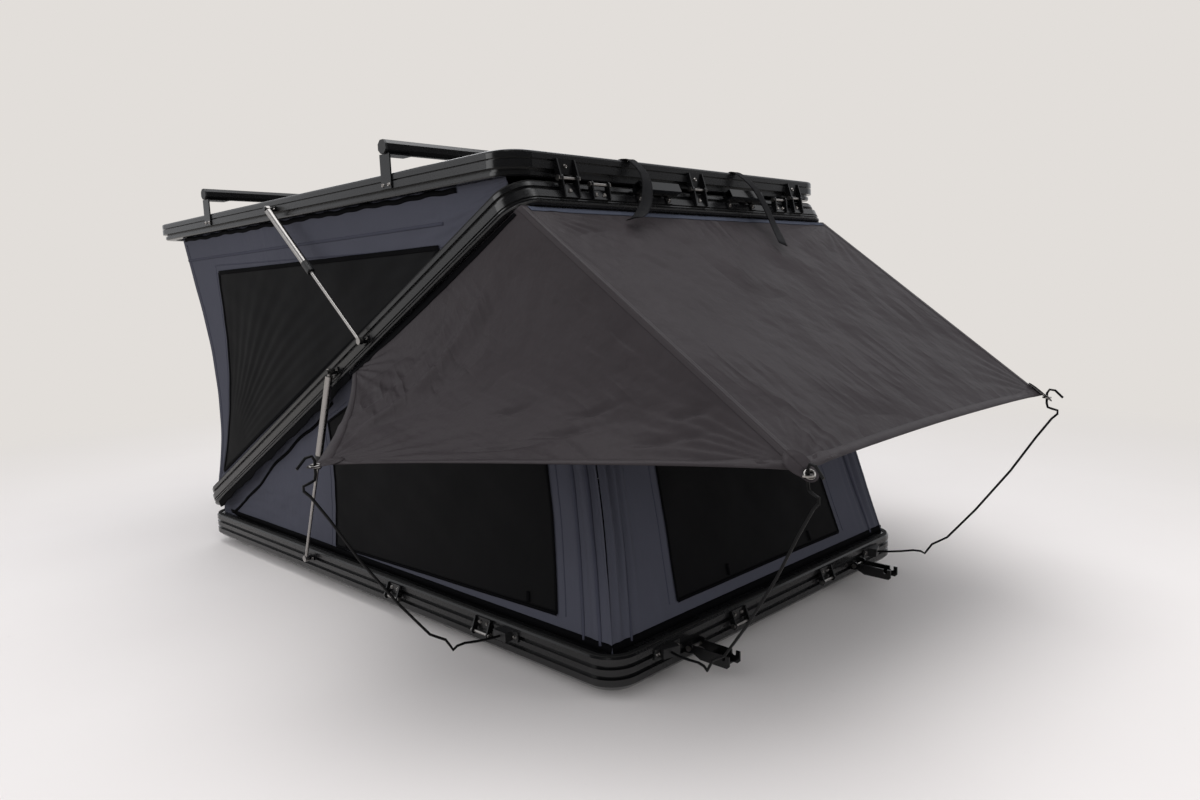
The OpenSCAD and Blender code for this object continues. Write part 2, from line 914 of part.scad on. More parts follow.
module lid_keepers() {
    color(bracket_black)
        lid_keeper_places() ear_bracket(lid_h - lid_keeper_z - 2, outer_half, hinge_out, boss_r);
}

module lid_keeper_pins() {
    color(steel) lid_keeper_places() ear_pin(outer_half, hinge_out);
}

// Roof bars stand on bent plates bolted to the lid's lower side ridge
bar_foot = lid_z + lid_h + bar_gap;
bar_half = shell_w / 2 + plate_t;

module roof_bars() {
    color(frame_black)
        on_lid()
            for (s = [-1, 1])
                translate([s * bar_x, 0, bar_foot + bar_d / 2])
                    rotate([90, 0, 0])
                        rotate([0, 0, 22.5])
                            linear_extrude(2 * bar_half, center = true)
                                difference() {
                                    circle(bar_d / 2 / cos(22.5), $fn = 8);
                                    circle(bar_d / 2 / cos(22.5) - wall_t, $fn = 8);
                                }
}

module roof_bar_caps() {
    cap_t = 6;
    color(bracket_black)
        on_lid()
            both_sides()
                for (s = [-1, 1])
                    translate([s * bar_x, -bar_half, bar_foot + bar_d / 2])
                        rotate([90, 0, 0])
                            rotate([0, 0, 22.5])
                                cylinder(r = bar_d / 2 / cos(22.5), h = cap_t, $fn = 8);
}

module roof_bar_brackets() {
    shelf_l = 70;
    low = lid_z + lid_lip_h + lid_groove_h;
    color(bracket_black)
        on_lid()
            both_sides()
                for (s = [-1, 1])
                    at_left(s * bar_x, 0) {
                        translate([0, -bar_bracket_w / 2, low])
                            cube([plate_t, bar_bracket_w, bar_foot - low]);
                        translate([-shelf_l, -bar_bracket_w / 2, bar_foot - plate_t])
                            cube([shelf_l + plate_t, bar_bracket_w, plate_t]);
                    }
}

// Cloth: two grids of points, outer and inner, closed round their edges
module thick_grid(outer, inner) {
    n = len(outer) - 1;
    m = len(outer[0]) - 1;
    half = (n + 1) * (m + 1);
    function a(i, j) = i * (m + 1) + j;
    function b(i, j) = half + a(i, j);
    points = concat([for (row = outer) each row], [for (row = inner) each row]);
    skins = [for (i = [0:n - 1]) for (j = [0:m - 1]) each [
        [a(i, j), a(i, j + 1), a(i + 1, j + 1)], [a(i, j), a(i + 1, j + 1), a(i + 1, j)],
        [b(i, j), b(i + 1, j + 1), b(i, j + 1)], [b(i, j), b(i + 1, j), b(i + 1, j + 1)]]];
    rows = [for (i = [0:n - 1]) each [
        [a(i, 0), a(i + 1, 0), b(i + 1, 0)], [a(i, 0), b(i + 1, 0), b(i, 0)],
        [a(i + 1, m), a(i, m), b(i, m)], [a(i + 1, m), b(i, m), b(i + 1, m)]]];
    ends = [for (j = [0:m - 1]) each [
        [a(0, j + 1), a(0, j), b(0, j)], [a(0, j + 1), b(0, j), b(0, j + 1)],
        [a(n, j), a(n, j + 1), b(n, j + 1)], [a(n, j), b(n, j + 1), b(n, j)]]];
    polyhedron(points, concat(skins, rows, ends), convexity = 6);
}

function shifted(grid, v) = [for (row = grid) [for (p = row) p + v]];
function grid(n, m, u0, u1, v0, v1, f) =
    [for (i = [0:n]) [for (j = [0:m]) f(lerp(u0, u1, i / n), lerp(v0, v1, j / m))]];

// Lower walls: held along the base rail's top and along the middle rail's underside
cloth_y = shell_w / 2 - wall_in;
cloth_x = shell_l / 2 - wall_in;
wall_foot = base_z + base_h + cloth_gap + 0.2;
hem_under_mid = mid_z - cloth_gap;
rear_clear = 14;
corner_bow = 45;
fold_d = 3;

// Folds and draw-in of a wall, as a depth behind the flat line between its held edges
function wall_depth(u, v, bow) =
    sin(180 * v) * (bow + fold_d * sin(360 * 3 * u) * (1 - v) + fold_d * sin(360 * 2 * u + 200 * v) * v);

// The front edge leans back with the middle frame, the rest stands upright
lower_top = mid_pt([cloth_x, 0, hem_under_mid]);

function lower_side(u, v) = let (
    foot_x = lerp(-cloth_x + rear_clear, cloth_x, u),
    top_x = foot_x - (cloth_x - lower_top[0]) * pow(u, 4),
    top_z = lower_top[2] + (top_x - lower_top[0]) * tan(mid_open),
    depth = wall_depth(u, v, wall_bow * u + corner_bow * pow(u, 6)))
    [lerp(foot_x, top_x, v), -cloth_y + depth, lerp(wall_foot, top_z, v)];

// A wall across the tent stops where the sloping frame meets its inner face
cross_clear = 2 * cloth_t * tan(mid_open);

function lower_front(u, v) = let (
    side = cloth_y - cloth_t - (wall_bow + corner_bow) * sin(180 * v),
    depth = wall_depth(u, v, wall_bow) * sin(180 * u),
    x = lerp(cloth_x, lower_top[0], v) - cloth_t - depth)
    [x, lerp(-side, side, u), lerp(wall_foot, lower_top[2] - cross_clear, v)];

module lower_walls() {
    side = grid(18, 8, 0, 1, 0, 1, function (u, v) lower_side(u, v));
    front = grid(12, 8, 0, 1, 0, 1, function (u, v) lower_front(u, v));
    color(canvas_grey) {
        both_sides() thick_grid(side, shifted(side, [0, cloth_t - cloth_gap, 0]));
        thick_grid(front, shifted(front, [-cloth_t, 0, 0]));
    }
}

// Window screens lie just outside the walls
screen_t = 1.5;
screen_gap = 1.3;
function screen(g, out, gap = screen_gap) = [shifted(g, out * (screen_t + gap)), shifted(g, out * gap)];

// Grid of points in a four-sided field of a wall; corners as U and V, round from the lower left
function field(n, m, corners, f) = [for (i = [0:n]) [for (j = [0:m]) let (
    low = lerp(corners[0], corners[1], i / n),
    high = lerp(corners[3], corners[2], i / n),
    p = lerp(low, high, j / m))
    f(p[0], p[1])]];

module lower_windows() {
    side_field = [[0.41, 0.05], [0.912, 0.05], [0.912, 0.87], [0.41, 0.87]];
    front_field = [[0.19, 0.05], [0.81, 0.05], [0.81, 0.87], [0.19, 0.87]];
    side = screen(field(10, 6, side_field, function (u, v) lower_side(u, v)), [0, -1, 0]);
    front = screen(field(10, 6, front_field, function (u, v) lower_front(u, v)), [1, 0, 0]);
    color(mesh_black) {
        both_sides() thick_grid(side[0], side[1]);
        thick_grid(front[0], front[1]);
    }
}

// Upper walls: held along the middle rail's top and the lid rail's underside
hem_on_mid = mid_z + mid_h + cloth_gap;
hem_under_lid = lid_z - cloth_gap;
rear_lid_x = -shell_l / 2 + 160;
rear_hem = lid_z + lid_h - 2 - panel_t - cloth_gap;

// The rear corners are drawn forward between the two frames, most below half height
rear_draw = 62;
function rear_pull(v) = rear_draw * sin(180 * (1 - pow(1 - v, 1.6)));

// Held edges of a side wall
function upper_low(u) = mid_pt([lerp(-cloth_x, cloth_x - rear_clear, u), 0, hem_on_mid]);
function upper_high(u) = lid_pt([lerp(rear_lid_x, cloth_x - rear_clear, u), 0, hem_under_lid]);

function upper_side(u, v) = let (
    p = lerp(upper_low(u), upper_high(u), v),
    depth = wall_depth(u, v, wall_bow * (1 - u)))
    [p[0] + rear_pull(v) * pow(1 - u, 4), depth - cloth_y, p[2]];

// The rear wall's top corners fit between the ledges of the lid rails
function upper_rear(u, v) = let (
    low = upper_low(0) + [0, 0, cross_clear],
    high = lid_pt([rear_lid_x, 0, rear_hem]),
    top_in = v == 1 ? lid_depth + ledge_w - wall_in : 0,
    side = cloth_y - cloth_t - wall_bow * sin(180 * v) - top_in,
    depth = wall_depth(u, v, wall_bow) * sin(180 * u) + rear_pull(v))
    [lerp(low[0], high[0], v) + cloth_t + depth, lerp(side, -side, u), lerp(low[2], high[2], v)];

// Share of the height at which a straight line from p to q crosses the side wall at U
function plane_cross(a, b) = a[0] * b[2] - a[2] * b[0];
function cross_v(u, p, q) = let (low = upper_low(u))
    plane_cross(q - p, p - low) / plane_cross(q - p, upper_high(u) - low);

module upper_walls() {
    side = grid(18, 8, 0, 1, 0, 1, function (u, v) upper_side(u, v));
    rear = grid(14, 12, 0, 1, 0, 1, function (u, v) upper_rear(u, v));
    color(canvas_grey) {
        both_sides() thick_grid(side, shifted(side, [0, cloth_t - cloth_gap, 0]));
        thick_grid(rear, shifted(rear, [cloth_t, 0, 0]));
    }
}

module upper_windows() {
    sill = [[0.035, 0.05], [0.822, 0.065]];
    head = [[0.13, 0.83], [0.843, 0.185]];
    head_rear = upper_side(head[0][0], head[0][1]);
    head_fore = upper_side(head[1][0], head[1][1]);
    n = 12;
    m = 6;
    side_grid = [for (i = [0:n]) let (
        low = lerp(sill[0], sill[1], i / n),
        u = lerp(head[0][0], head[1][0], i / n),
        high = [u, cross_v(u, head_rear, head_fore)])
        [for (j = [0:m]) let (p = lerp(low, high, j / m)) upper_side(p[0], p[1])]];
    rear_field = [[3 / 14, 2 / 12], [11 / 14, 2 / 12], [11 / 14, 10 / 12], [3 / 14, 10 / 12]];
    side = screen(side_grid, [0, -1, 0]);
    rear = screen(field(8, 8, rear_field, function (u, v) upper_rear(u, v)), [-1, 0, 0], screen_gap / 2);
    color(mesh_black) {
        both_sides() thick_grid(side[0], side[1]);
        thick_grid(rear[0], rear[1]);
    }
}

// Awning: a front panel and two wings, hung under the middle rails and held out by the rods
awning_in = 14;
wing_rail_x = 170;
corner_cut = grommet_r + side_gap;
awning_hem = mid_z - cloth_t / 2 - cloth_gap;
awning_top_x = shell_l / 2 - awning_in;
awning_top_y = shell_w / 2 - awning_in;
rod_out = socket_h + grommet_reach;
grommet_z = socket_z + grommet_rise + cloth_t / 2;
front_grommet = [shell_l / 2 + rod_out * cos(front_rod_turn),
    -front_socket_y - rod_out * sin(front_rod_turn), grommet_z];
side_grommet = [side_socket_x, -shell_w / 2 - rod_out, grommet_z];
top_corner = mid_pt([awning_top_x, -awning_top_y, awning_hem]);
wing_end = mid_pt([wing_rail_x, -awning_top_y, awning_hem]);
// The cloth stops short of the grommets' rings at its held corners
front_hold = front_grommet + corner_cut * unit(top_corner - front_grommet + [0, 300, 0]);
side_hold = side_grommet + corner_cut * unit(wing_end - side_grommet);

// U runs across, V from the free edge up to the held one
function awning_front(u, v) = let (
    low = [front_hold[0], lerp(front_hold[1], -front_hold[1], u), front_hold[2]],
    high = [top_corner[0], lerp(top_corner[1], -top_corner[1], u), top_corner[2]],
    belly = sin(180 * v) * sin(180 * u) * awning_sag,
    edge = 26 * sin(180 * u) * pow(1 - v, 4))
    lerp(low, high, v) - [edge, 0, belly - edge * 0.7];

function awning_wing(u, v) = let (
    low = lerp(side_hold, front_hold, u),
    high = lerp(wing_end, top_corner, u),
    belly = sin(180 * v) * sin(180 * u) * awning_sag,
    edge = 26 * sin(180 * u) * pow(1 - v, 4),
    rear_edge = 40 * sin(180 * v) * pow(1 - u, 4))
    lerp(low, high, v) + [rear_edge - edge * 0.4, edge * 0.7, edge * 0.4 - belly];

module awning() {
    front = grid(16, 10, 0, 1, 0, 1, function (u, v) awning_front(u, v));
    wing = grid(14, 10, 0, 1, 0, 1, function (u, v) awning_wing(u, v));
    drop = [0, 0, -cloth_t / 2];
    color(awning_grey)
        union() {
            thick_grid(shifted(front, -drop), shifted(front, drop));
            both_sides() thick_grid(shifted(wing, -drop), shifted(wing, drop));
        }
}

// Mattress: crowned top with sewn cross channels, sides drawn in between the corners
module mattress() {
    half_l = shell_l / 2 - base_depth - 16;
    half_w = shell_w / 2 - base_depth - 16;
    draw_in = 14;
    channels = 9;
    nu = 27;
    nv = 6;
    foot = base_z + ledge_t + panel_t + cloth_gap;
    function edge(t) = 1 - pow(abs(2 * t - 1), 6);
    function plan(u, v) = [
        (2 * u - 1) * (half_l - draw_in * sin(180 * v)),
        (2 * v - 1) * (half_w - draw_in * sin(180 * u))];
    function dip(u) = channel_d * pow(abs(cos(180 * channels * u)), 8);
    function top(u, v) = let (p = plan(u, v), e = sqrt(edge(u) * edge(v)))
        [p[0], p[1], foot + mattress_h * (0.55 + 0.45 * e) - dip(u) * e];
    function under(u, v) = let (p = plan(u, v), rim = (u == 0 || u == 1 || v == 0 || v == 1))
        [p[0], p[1], foot + (rim ? 0.2 * mattress_h : 0)];
    color([0.3, 0.3, 0.32])
        thick_grid(grid(nu, nv, 0, 1, 0, 1, function (u, v) top(u, v)),
            grid(nu, nv, 0, 1, 0, 1, function (u, v) under(u, v)));
}

// Pull straps: webbing over the lid's front edge; points on the folded lid, from the base's underside
strap_left_route = [
    [1030, -278, 209], [1046, -271, 210], [1060, -266, 206], [1084, -256, 179], [1103, -260, 146],
    [1117, -278, 106], [1126, -304, 75], [1131, -334, 56], [1131, -360, 50]];
strap_right_route = [
    [1030, 204, 209], [1046, 198, 210], [1060, 197, 205], [1078, 210, 188], [1096, 224, 164],
    [1112, 237, 130], [1130, 248, 85], [1158, 241, 38], [1205, 205, -10]];
strap_t = 2;

// The webbing's flat side turns from across the tent at the top to edge-on by the share given
module strap(route, twist) {
    last = len(route) - 1;
    turn_from = 3;
    drawn_l = 2100;
    drawn_top = 208;
    out = (shell_l - drawn_l) / 2;
    rise = lid_z + lid_h - drawn_top + cloth_gap;
    path = [for (p = route) lid_pt(p + [out, 0, rise])];
    rows = [for (i = [0:last]) let (
        t = tangent(path, i),
        flat = lerp([0, 1, 0], [1, 0, 0.3], twist * max(0, i - turn_from) / (last - turn_from)),
        w = unit(flat - t * (flat * t)) * strap_w / 2,
        n = unit(cross(t, w)) * strap_t / 2)
        [[path[i] - w + n, path[i] + w + n], [path[i] - w - n, path[i] + w - n]]];
    thick_grid([for (row = rows) row[0]], [for (row = rows) row[1]]);
}

module pull_straps() {
    color(bracket_black) {
        strap(strap_left_route, 0.6);
        strap(strap_right_route, 0);
    }
}

mount_rails();
floor_panel();
base_side_rails();
base_end_rails();
base_corners();
base_seal();
mattress();
rear_hinge_base_leaves();
rear_hinge_pins();
ladder_brackets();
ladder_pins();
latch_brackets();
latch_pivots();
rod_sockets();
awning_rods();
strut_base_studs();
lower_walls();
lower_windows();
awning();
awning_grommets();
mid_side_rails();
mid_end_rails();
mid_corners();
mid_seal();
rear_hinge_mid_leaves();
front_hinge_mid_leaves();
front_hinge_pins();
latch_keepers();
keeper_pins();
rear_latch_brackets();
rear_latch_pivots();
grab_tubes();
grab_tube_brackets();
strut_mid_studs();
lid_side_rails();
lid_end_rails();
lid_corners();
roof_panel();
front_hinge_lid_leaves();
roof_bars();
roof_bar_brackets();
roof_bar_caps();
lid_keepers();
lid_keeper_pins();
strut_lid_studs();
upper_walls();
upper_windows();
pull_straps();
front_hook_left();
front_hook_right();
rear_hook_left();
rear_hook_right();
lower_cylinder_left();
lower_rod_left();
lower_cylinder_right();
lower_rod_right();
upper_cylinder_left();
upper_rod_left();
upper_cylinder_right();
upper_rod_right();
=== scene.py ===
import json
import math

import bmesh
import bpy
from mathutils import Matrix, Vector

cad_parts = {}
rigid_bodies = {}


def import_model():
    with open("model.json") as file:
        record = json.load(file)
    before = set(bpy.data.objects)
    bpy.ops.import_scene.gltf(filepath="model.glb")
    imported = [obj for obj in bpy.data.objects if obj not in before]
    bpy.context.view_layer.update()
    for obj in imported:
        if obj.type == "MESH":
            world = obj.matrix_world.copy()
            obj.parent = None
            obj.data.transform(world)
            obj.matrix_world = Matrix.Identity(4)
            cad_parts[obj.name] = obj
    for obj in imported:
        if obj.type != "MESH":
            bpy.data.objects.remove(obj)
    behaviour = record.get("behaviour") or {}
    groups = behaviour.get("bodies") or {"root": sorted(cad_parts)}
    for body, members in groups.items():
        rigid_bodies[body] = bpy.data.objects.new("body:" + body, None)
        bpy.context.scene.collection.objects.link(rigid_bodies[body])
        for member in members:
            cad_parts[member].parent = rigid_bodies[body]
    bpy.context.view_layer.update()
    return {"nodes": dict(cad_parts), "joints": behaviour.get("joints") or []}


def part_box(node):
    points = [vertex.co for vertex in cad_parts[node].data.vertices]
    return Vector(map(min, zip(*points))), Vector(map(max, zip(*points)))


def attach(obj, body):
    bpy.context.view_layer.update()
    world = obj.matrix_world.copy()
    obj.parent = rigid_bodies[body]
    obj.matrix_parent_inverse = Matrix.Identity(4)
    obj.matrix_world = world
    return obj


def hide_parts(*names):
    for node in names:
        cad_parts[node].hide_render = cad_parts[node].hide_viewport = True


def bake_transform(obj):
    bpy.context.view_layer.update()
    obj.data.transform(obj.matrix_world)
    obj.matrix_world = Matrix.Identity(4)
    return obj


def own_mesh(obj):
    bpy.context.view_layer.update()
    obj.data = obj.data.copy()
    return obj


for leftover in list(bpy.data.objects):
    bpy.data.objects.remove(leftover)
scene = bpy.context.scene
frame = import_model()

# Camera. It stands in front of the tent's near corner, a little under the height of the lid,
# and is rolled by a degree and a half, as the photograph's edges show.
CAMERA_AT = Vector((2.3304, -2.0135, 0.9383))
CAMERA_YAW, CAMERA_PITCH, CAMERA_ROLL = 134.155, -7.555, -1.492
CAMERA_LENS = 26.753

camera_data = bpy.data.cameras.new("camera")
camera_data.sensor_width = 36
camera_data.lens = CAMERA_LENS
camera = bpy.data.objects.new("camera", camera_data)
scene.collection.objects.link(camera)
camera_pose = Matrix.Translation(CAMERA_AT)
for degrees, axis in ((CAMERA_YAW - 90, "Z"), (CAMERA_PITCH + 90, "X"), (CAMERA_ROLL, "Z")):
    camera_pose = camera_pose @ Matrix.Rotation(math.radians(degrees), 4, axis)
camera.matrix_world = camera_pose
scene.camera = camera
scene.view_settings.view_transform = "Standard"

# Pull straps. Two lengths of black polyester webbing sewn to the lid's front edge; one hangs in a
# curve in front of the middle frame, the other trails down over the awning.
MM = 0.001
joints = {joint["name"]: joint for joint in frame["joints"]}


def lifted(axle, degrees):
    """Matrix of a turn about a line across the tent; a positive angle lifts the awning end."""
    there = Matrix.Translation(axle)
    return there @ Matrix.Rotation(math.radians(-degrees), 4, "Y") @ there.inverted()


# Matrices that take a point of the folded tent to its place in the open one
mid_axle = Vector(joints["mid_fold"]["pos_m"])
mid_open = lifted(mid_axle, joints["mid_fold"]["range_deg"][1])
lid_axle = mid_open.inverted() @ Vector(joints["lid_fold"]["pos_m"])
lid_open = mid_open @ lifted(lid_axle, -joints["lid_fold"]["range_deg"][1])


class Signal:
    """One output of a shader node, so that a pattern's maths reads as arithmetic."""

    def __init__(self, nodes, socket):
        self.nodes, self.socket = nodes, socket

    def maths(self, operation, other, swapped=False):
        pair = (other, self) if swapped else (self, other)
        return self.nodes.node("ShaderNodeMath", {"operation": operation}, dict(enumerate(pair)))

    def __add__(self, other):
        return self.maths("ADD", other)

    def __sub__(self, other):
        return self.maths("SUBTRACT", other)

    def __rsub__(self, other):
        return self.maths("SUBTRACT", other, True)

    def __mul__(self, other):
        return self.maths("MULTIPLY", other)

    __radd__, __rmul__ = __add__, __mul__


class Nodes:
    """The node tree of a material or of the world, built from named patterns."""

    def __init__(self, owner):
        owner.use_nodes = True
        self.owner, self.tree = owner, owner.node_tree

    def feed(self, socket, value):
        if isinstance(value, Signal):
            self.tree.links.new(value.socket, socket)
        else:
            socket.default_value = value

    def node(self, kind, settings, inputs, output=0):
        made = self.tree.nodes.new(kind)
        for name, value in settings.items():
            setattr(made, name, value)
        for name, value in inputs.items():
            self.feed(made.inputs[name], value)
        return Signal(self, made.outputs[output])

    def surface(self, inputs):
        for name, value in inputs.items():
            self.feed(self.tree.nodes["Principled BSDF"].inputs[name], value)
        return self.owner

    def place(self, output="Object"):
        return self.node("ShaderNodeTexCoord", {}, {}, output)

    def noise(self, vector, scale, detail=2.0, rough=0.5):
        return self.node("ShaderNodeTexNoise", {},
                         {"Vector": vector, "Scale": scale, "Detail": detail, "Roughness": rough})

    def stretched(self, vector, scale):
        return self.node("ShaderNodeMapping", {}, {"Vector": vector, "Scale": scale})

    def wave(self, vector, scale, direction):
        return self.node("ShaderNodeTexWave", {"bands_direction": direction},
                         {"Vector": vector, "Scale": scale}, "Fac")

    def ramp(self, value, low, high):
        return self.node("ShaderNodeMapRange", {"clamp": True},
                         {"Value": value, "From Min": low, "From Max": high})

    def blend(self, share, first, second):
        return self.node("ShaderNodeMix", {"data_type": "RGBA"}, {0: share, 6: first, 7: second}, 2)

    def bump(self, height, distance, strength=1.0, under=None):
        inputs = {"Height": height, "Distance": distance, "Strength": strength}
        if under:
            inputs["Normal"] = under
        return self.node("ShaderNodeBump", {}, inputs)


def material(name):
    return Nodes(bpy.data.materials.new(name))


def paint(red, green, blue):
    """A colour written as it looks on a screen, 0 to 255, as the linear value that a shader takes."""
    return tuple(((c / 255 + 0.055) / 1.055) ** 2.4 if c > 10 else c / 255 / 12.92
                 for c in (red, green, blue)) + (1.0,)


def lay_sheet(bm, columns, rows, flat, surface):
    """Adds a grid laid on surface(u, v) to a bmesh, with its UV map in metres of the flat cut."""
    uv = bm.loops.layers.uv.verify()
    made = bmesh.ops.create_grid(bm, x_segments=columns, y_segments=rows, size=0.5)["verts"]
    for vert in made:
        u, v = vert.co.x + 0.5, vert.co.y + 0.5
        vert.co = surface(u, v)
        for loop in vert.link_loops:
            loop[uv].uv = (u * flat[0], v * flat[1])
            loop.face.smooth = True


def finished_piece(name, bm, finish, thickness=0.0):
    """The object of a bmesh, at the origin, with its material and, for cloth, its thickness."""
    mesh = bpy.data.meshes.new(name)
    bm.to_mesh(mesh)
    bm.free()
    mesh.materials.append(finish)
    piece = bpy.data.objects.new(name, mesh)
    scene.collection.objects.link(piece)
    if thickness:
        wall = piece.modifiers.new("thickness", "SOLIDIFY")
        wall.thickness = thickness
        wall.offset = -1
    return piece


def sheet_piece(name, columns, rows, flat, surface, finish, thickness=0.0):
    bm = bmesh.new()
    lay_sheet(bm, columns, rows, flat, surface)
    return finished_piece(name, bm, finish, thickness)


def flowing(points, steps):
    """Points along a smooth curve through the given ones."""
    ends = [points[0] * 2 - points[1], *points, points[-1] * 2 - points[-2]]
    route = []
    for before, a, b, after in zip(ends, ends[1:], ends[2:], ends[3:]):
        for k in range(steps):
            t = k / steps
            route.append(0.5 * (2 * a + (b - before) * t + (2 * before - 5 * a + 4 * b - after) * t * t
                                + (3 * a - before - 3 * b + after) * t ** 3))
    return route + [points[-1]]


def along(route, share):
    """The point at a share of the route, counted in its steps."""
    place = min(max(share, 0.0), 1.0) * (len(route) - 1)
    k = min(int(place), len(route) - 2)
    return route[k].lerp(route[k + 1], place - k)


def length_of(points):
    return sum((b - a).length for a, b in zip(points, points[1:]))


STRAP_W = 30 * MM
STRAP_T = 2 * MM
STRAP_RISE = 30.3 * MM
STRAP_ROUTES = {
    "left": (0.6, ((1030, -278, 209), (1046, -271, 210), (1060, -266, 206), (1084, -256, 179),
                   (1103, -260, 146), (1117, -278, 106), (1126, -304, 75), (1131, -334, 56),
                   (1131, -360, 50))),
    "right": (0.0, ((1030, 204, 209), (1046, 198, 210), (1060, 197, 205), (1078, 210, 188),
                    (1096, 224, 164), (1112, 237, 130), (1130, 248, 85), (1158, 241, 38),
                    (1205, 205, -10))),
}

webbing = material("webbing")
webbing_cut = webbing.place("UV")
webbing_ribs = webbing.wave(webbing_cut, 160, "X") * 0.7 + webbing.wave(webbing_cut, 90, "Y") * 0.3
webbing_tone = webbing.blend(webbing.noise(webbing_cut, 60), paint(10, 10, 12), paint(18, 18, 21))
webbing.surface({"Base Color": webbing_tone, "Roughness": 0.75, "Specular IOR Level": 0.15,
                 "Normal": webbing.bump(webbing_ribs, 0.0006)})


def strap_piece(side):
    twist, points = STRAP_ROUTES[side]
    route = flowing([lid_open @ Vector((x * MM, y * MM, z * MM + STRAP_RISE)) for x, y, z in points], 5)
    last = len(route) - 1
    turn_from = 3 / (len(points) - 1)

    def surface(u, v):
        ahead = (along(route, u + 1 / last) - along(route, u - 1 / last)).normalized()
        turned = twist * max(0.0, u - turn_from) / (1 - turn_from)
        flat = Vector((0, 1, 0)).lerp(Vector((1, 0, 0.3)), turned)
        sideways = (flat - ahead * flat.dot(ahead)).normalized()
        return along(route, u) + sideways * (v - 0.5) * STRAP_W + ahead.cross(sideways) * STRAP_T / 2

    length = length_of(route)
    cut = (length, STRAP_W)
    piece = sheet_piece("pull_strap_" + side, last, 6, cut, surface, webbing.owner, STRAP_T)
    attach(piece, "lid")
    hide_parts("pull_straps")
    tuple(route[0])


for strap_side in STRAP_ROUTES:
    strap_piece(strap_side)

# Studio. A pale painted floor that runs into a pale cove, lit from above and from the tent's left,
# and darker behind the camera. None of it belongs to the tent.
STUDIO_WALL, SKY_TONE = paint(226, 222, 218), paint(240, 241, 244)
FLOOR_RADIUS = 30.0
COVE_FROM, COVE_TO = 2.0, 4.6
SKY_FILL, WALL_FILL = 0.54, 1.05
MIRRORED_PALE, MIRRORED_FALL = 0.95, 0.92
DARK_SIDE, PALE_WALL = (0.80, -0.55, -0.25), (0.15, -0.97, 0.20)

sky = Nodes(bpy.data.worlds.new("studio"))
scene.world = sky.owner
sky_way = sky.place("Generated")
sky_toward_dark, sky_toward_wall = (
    sky.node("ShaderNodeVectorMath", {"operation": "DOT_PRODUCT"}, {0: sky_way, 1: way}, "Value")
    for way in (DARK_SIDE, PALE_WALL))
sky_fill = SKY_FILL + WALL_FILL * sky.ramp(sky_toward_wall, 0.3, 0.9)
sky_rays = sky.tree.nodes.new("ShaderNodeLightPath")
sky_camera, sky_glossy = (Signal(sky, sky_rays.outputs[f"Is {kind} Ray"]) for kind in ("Camera", "Glossy"))
sky_mirrored = MIRRORED_PALE - MIRRORED_FALL * sky.ramp(sky_toward_dark, -0.35, 0.2)
sky_strength = sky_fill + sky_glossy * (sky_mirrored - sky_fill)
sky_light = sky.node("ShaderNodeBackground", {}, {"Color": SKY_TONE, "Strength": sky_strength})
sky_seen = sky.node("ShaderNodeBackground", {}, {"Color": STUDIO_WALL})
sky_shader = sky.node("ShaderNodeMixShader", {}, {0: sky_camera, 1: sky_light, 2: sky_seen})
sky.feed(sky.tree.nodes["World Output"].inputs["Surface"], sky_shader)

ground = material("studio_floor")
floor_place = ground.place()
floor_reach = ground.node("ShaderNodeVectorMath", {"operation": "LENGTH"}, {0: floor_place}, "Value")
floor_far = ground.ramp(floor_reach, COVE_FROM, COVE_TO)
floor_speck = ground.ramp(ground.noise(floor_place, 16, 6, 0.7), 0.66, 0.74)
floor_cloud = ground.noise(floor_place, 1.3, 4)
floor_tone = ground.blend(floor_cloud, paint(225, 220, 218), paint(231, 227, 225))
floor_colour = ground.blend(floor_speck * 0.12, floor_tone, paint(170, 165, 160))
ground.surface({"Base Color": floor_colour, "Roughness": 0.6, "Specular IOR Level": 0.25})
floor_matt = Signal(ground, ground.tree.nodes["Principled BSDF"].outputs[0])
floor_glow = ground.node("ShaderNodeEmission", {}, {"Color": STUDIO_WALL})
floor_shader = ground.node("ShaderNodeMixShader", {}, {0: floor_far, 1: floor_matt, 2: floor_glow})
ground.feed(ground.tree.nodes["Material Output"].inputs["Surface"], floor_shader)
floor_bm = bmesh.new()
bmesh.ops.create_circle(floor_bm, cap_ends=True, segments=64, radius=FLOOR_RADIUS)
finished_piece("floor", floor_bm, ground.owner)

# Name, place, aim, size in metres and power in watts
LAMPS = (
    ("overhead", (0.6, -0.2, 4.6), (0, 0, 0.3), 4.2, 130.0),
    ("left", (-2.2, -5.0, 2.4), (0.2, -0.3, 0.6), 2.6, 40.0),
    ("right", (5.6, 1.6, 1.5), (1.0, 0, 0.3), 2.4, 55.0),
    ("rear", (-4.2, 3.0, 3.4), (0, 0, 0.8), 3.0, 40.0),
)
for lamp_name, lamp_place, lamp_aim, lamp_size, lamp_power in LAMPS:
    lamp = bpy.data.lights.new(lamp_name, "AREA")
    lamp.shape = "SQUARE"
    lamp.size = lamp_size
    lamp.energy = lamp_power
    holder = bpy.data.objects.new(lamp_name, lamp)
    scene.collection.objects.link(holder)
    facing_aim = (Vector(lamp_aim) - Vector(lamp_place)).to_track_quat("-Z", "Y")
    holder.matrix_world = Matrix.Translation(lamp_place) @ facing_aim.to_matrix().to_4x4()
    holder.visible_glossy = lamp_name != "right"

# Base tray, middle frame and lid frame. Aluminium extrusions with cast corners, powder coated in
# satin black; the castings are a little smoother than the extruded rails.


def dress(finish, *endings):
    """Gives the CAD nodes whose names end so a finish, in their own material slots."""
    for name, node in frame["nodes"].items():
        if name.endswith(endings):
            for slot in node.material_slots:
                slot.material = finish


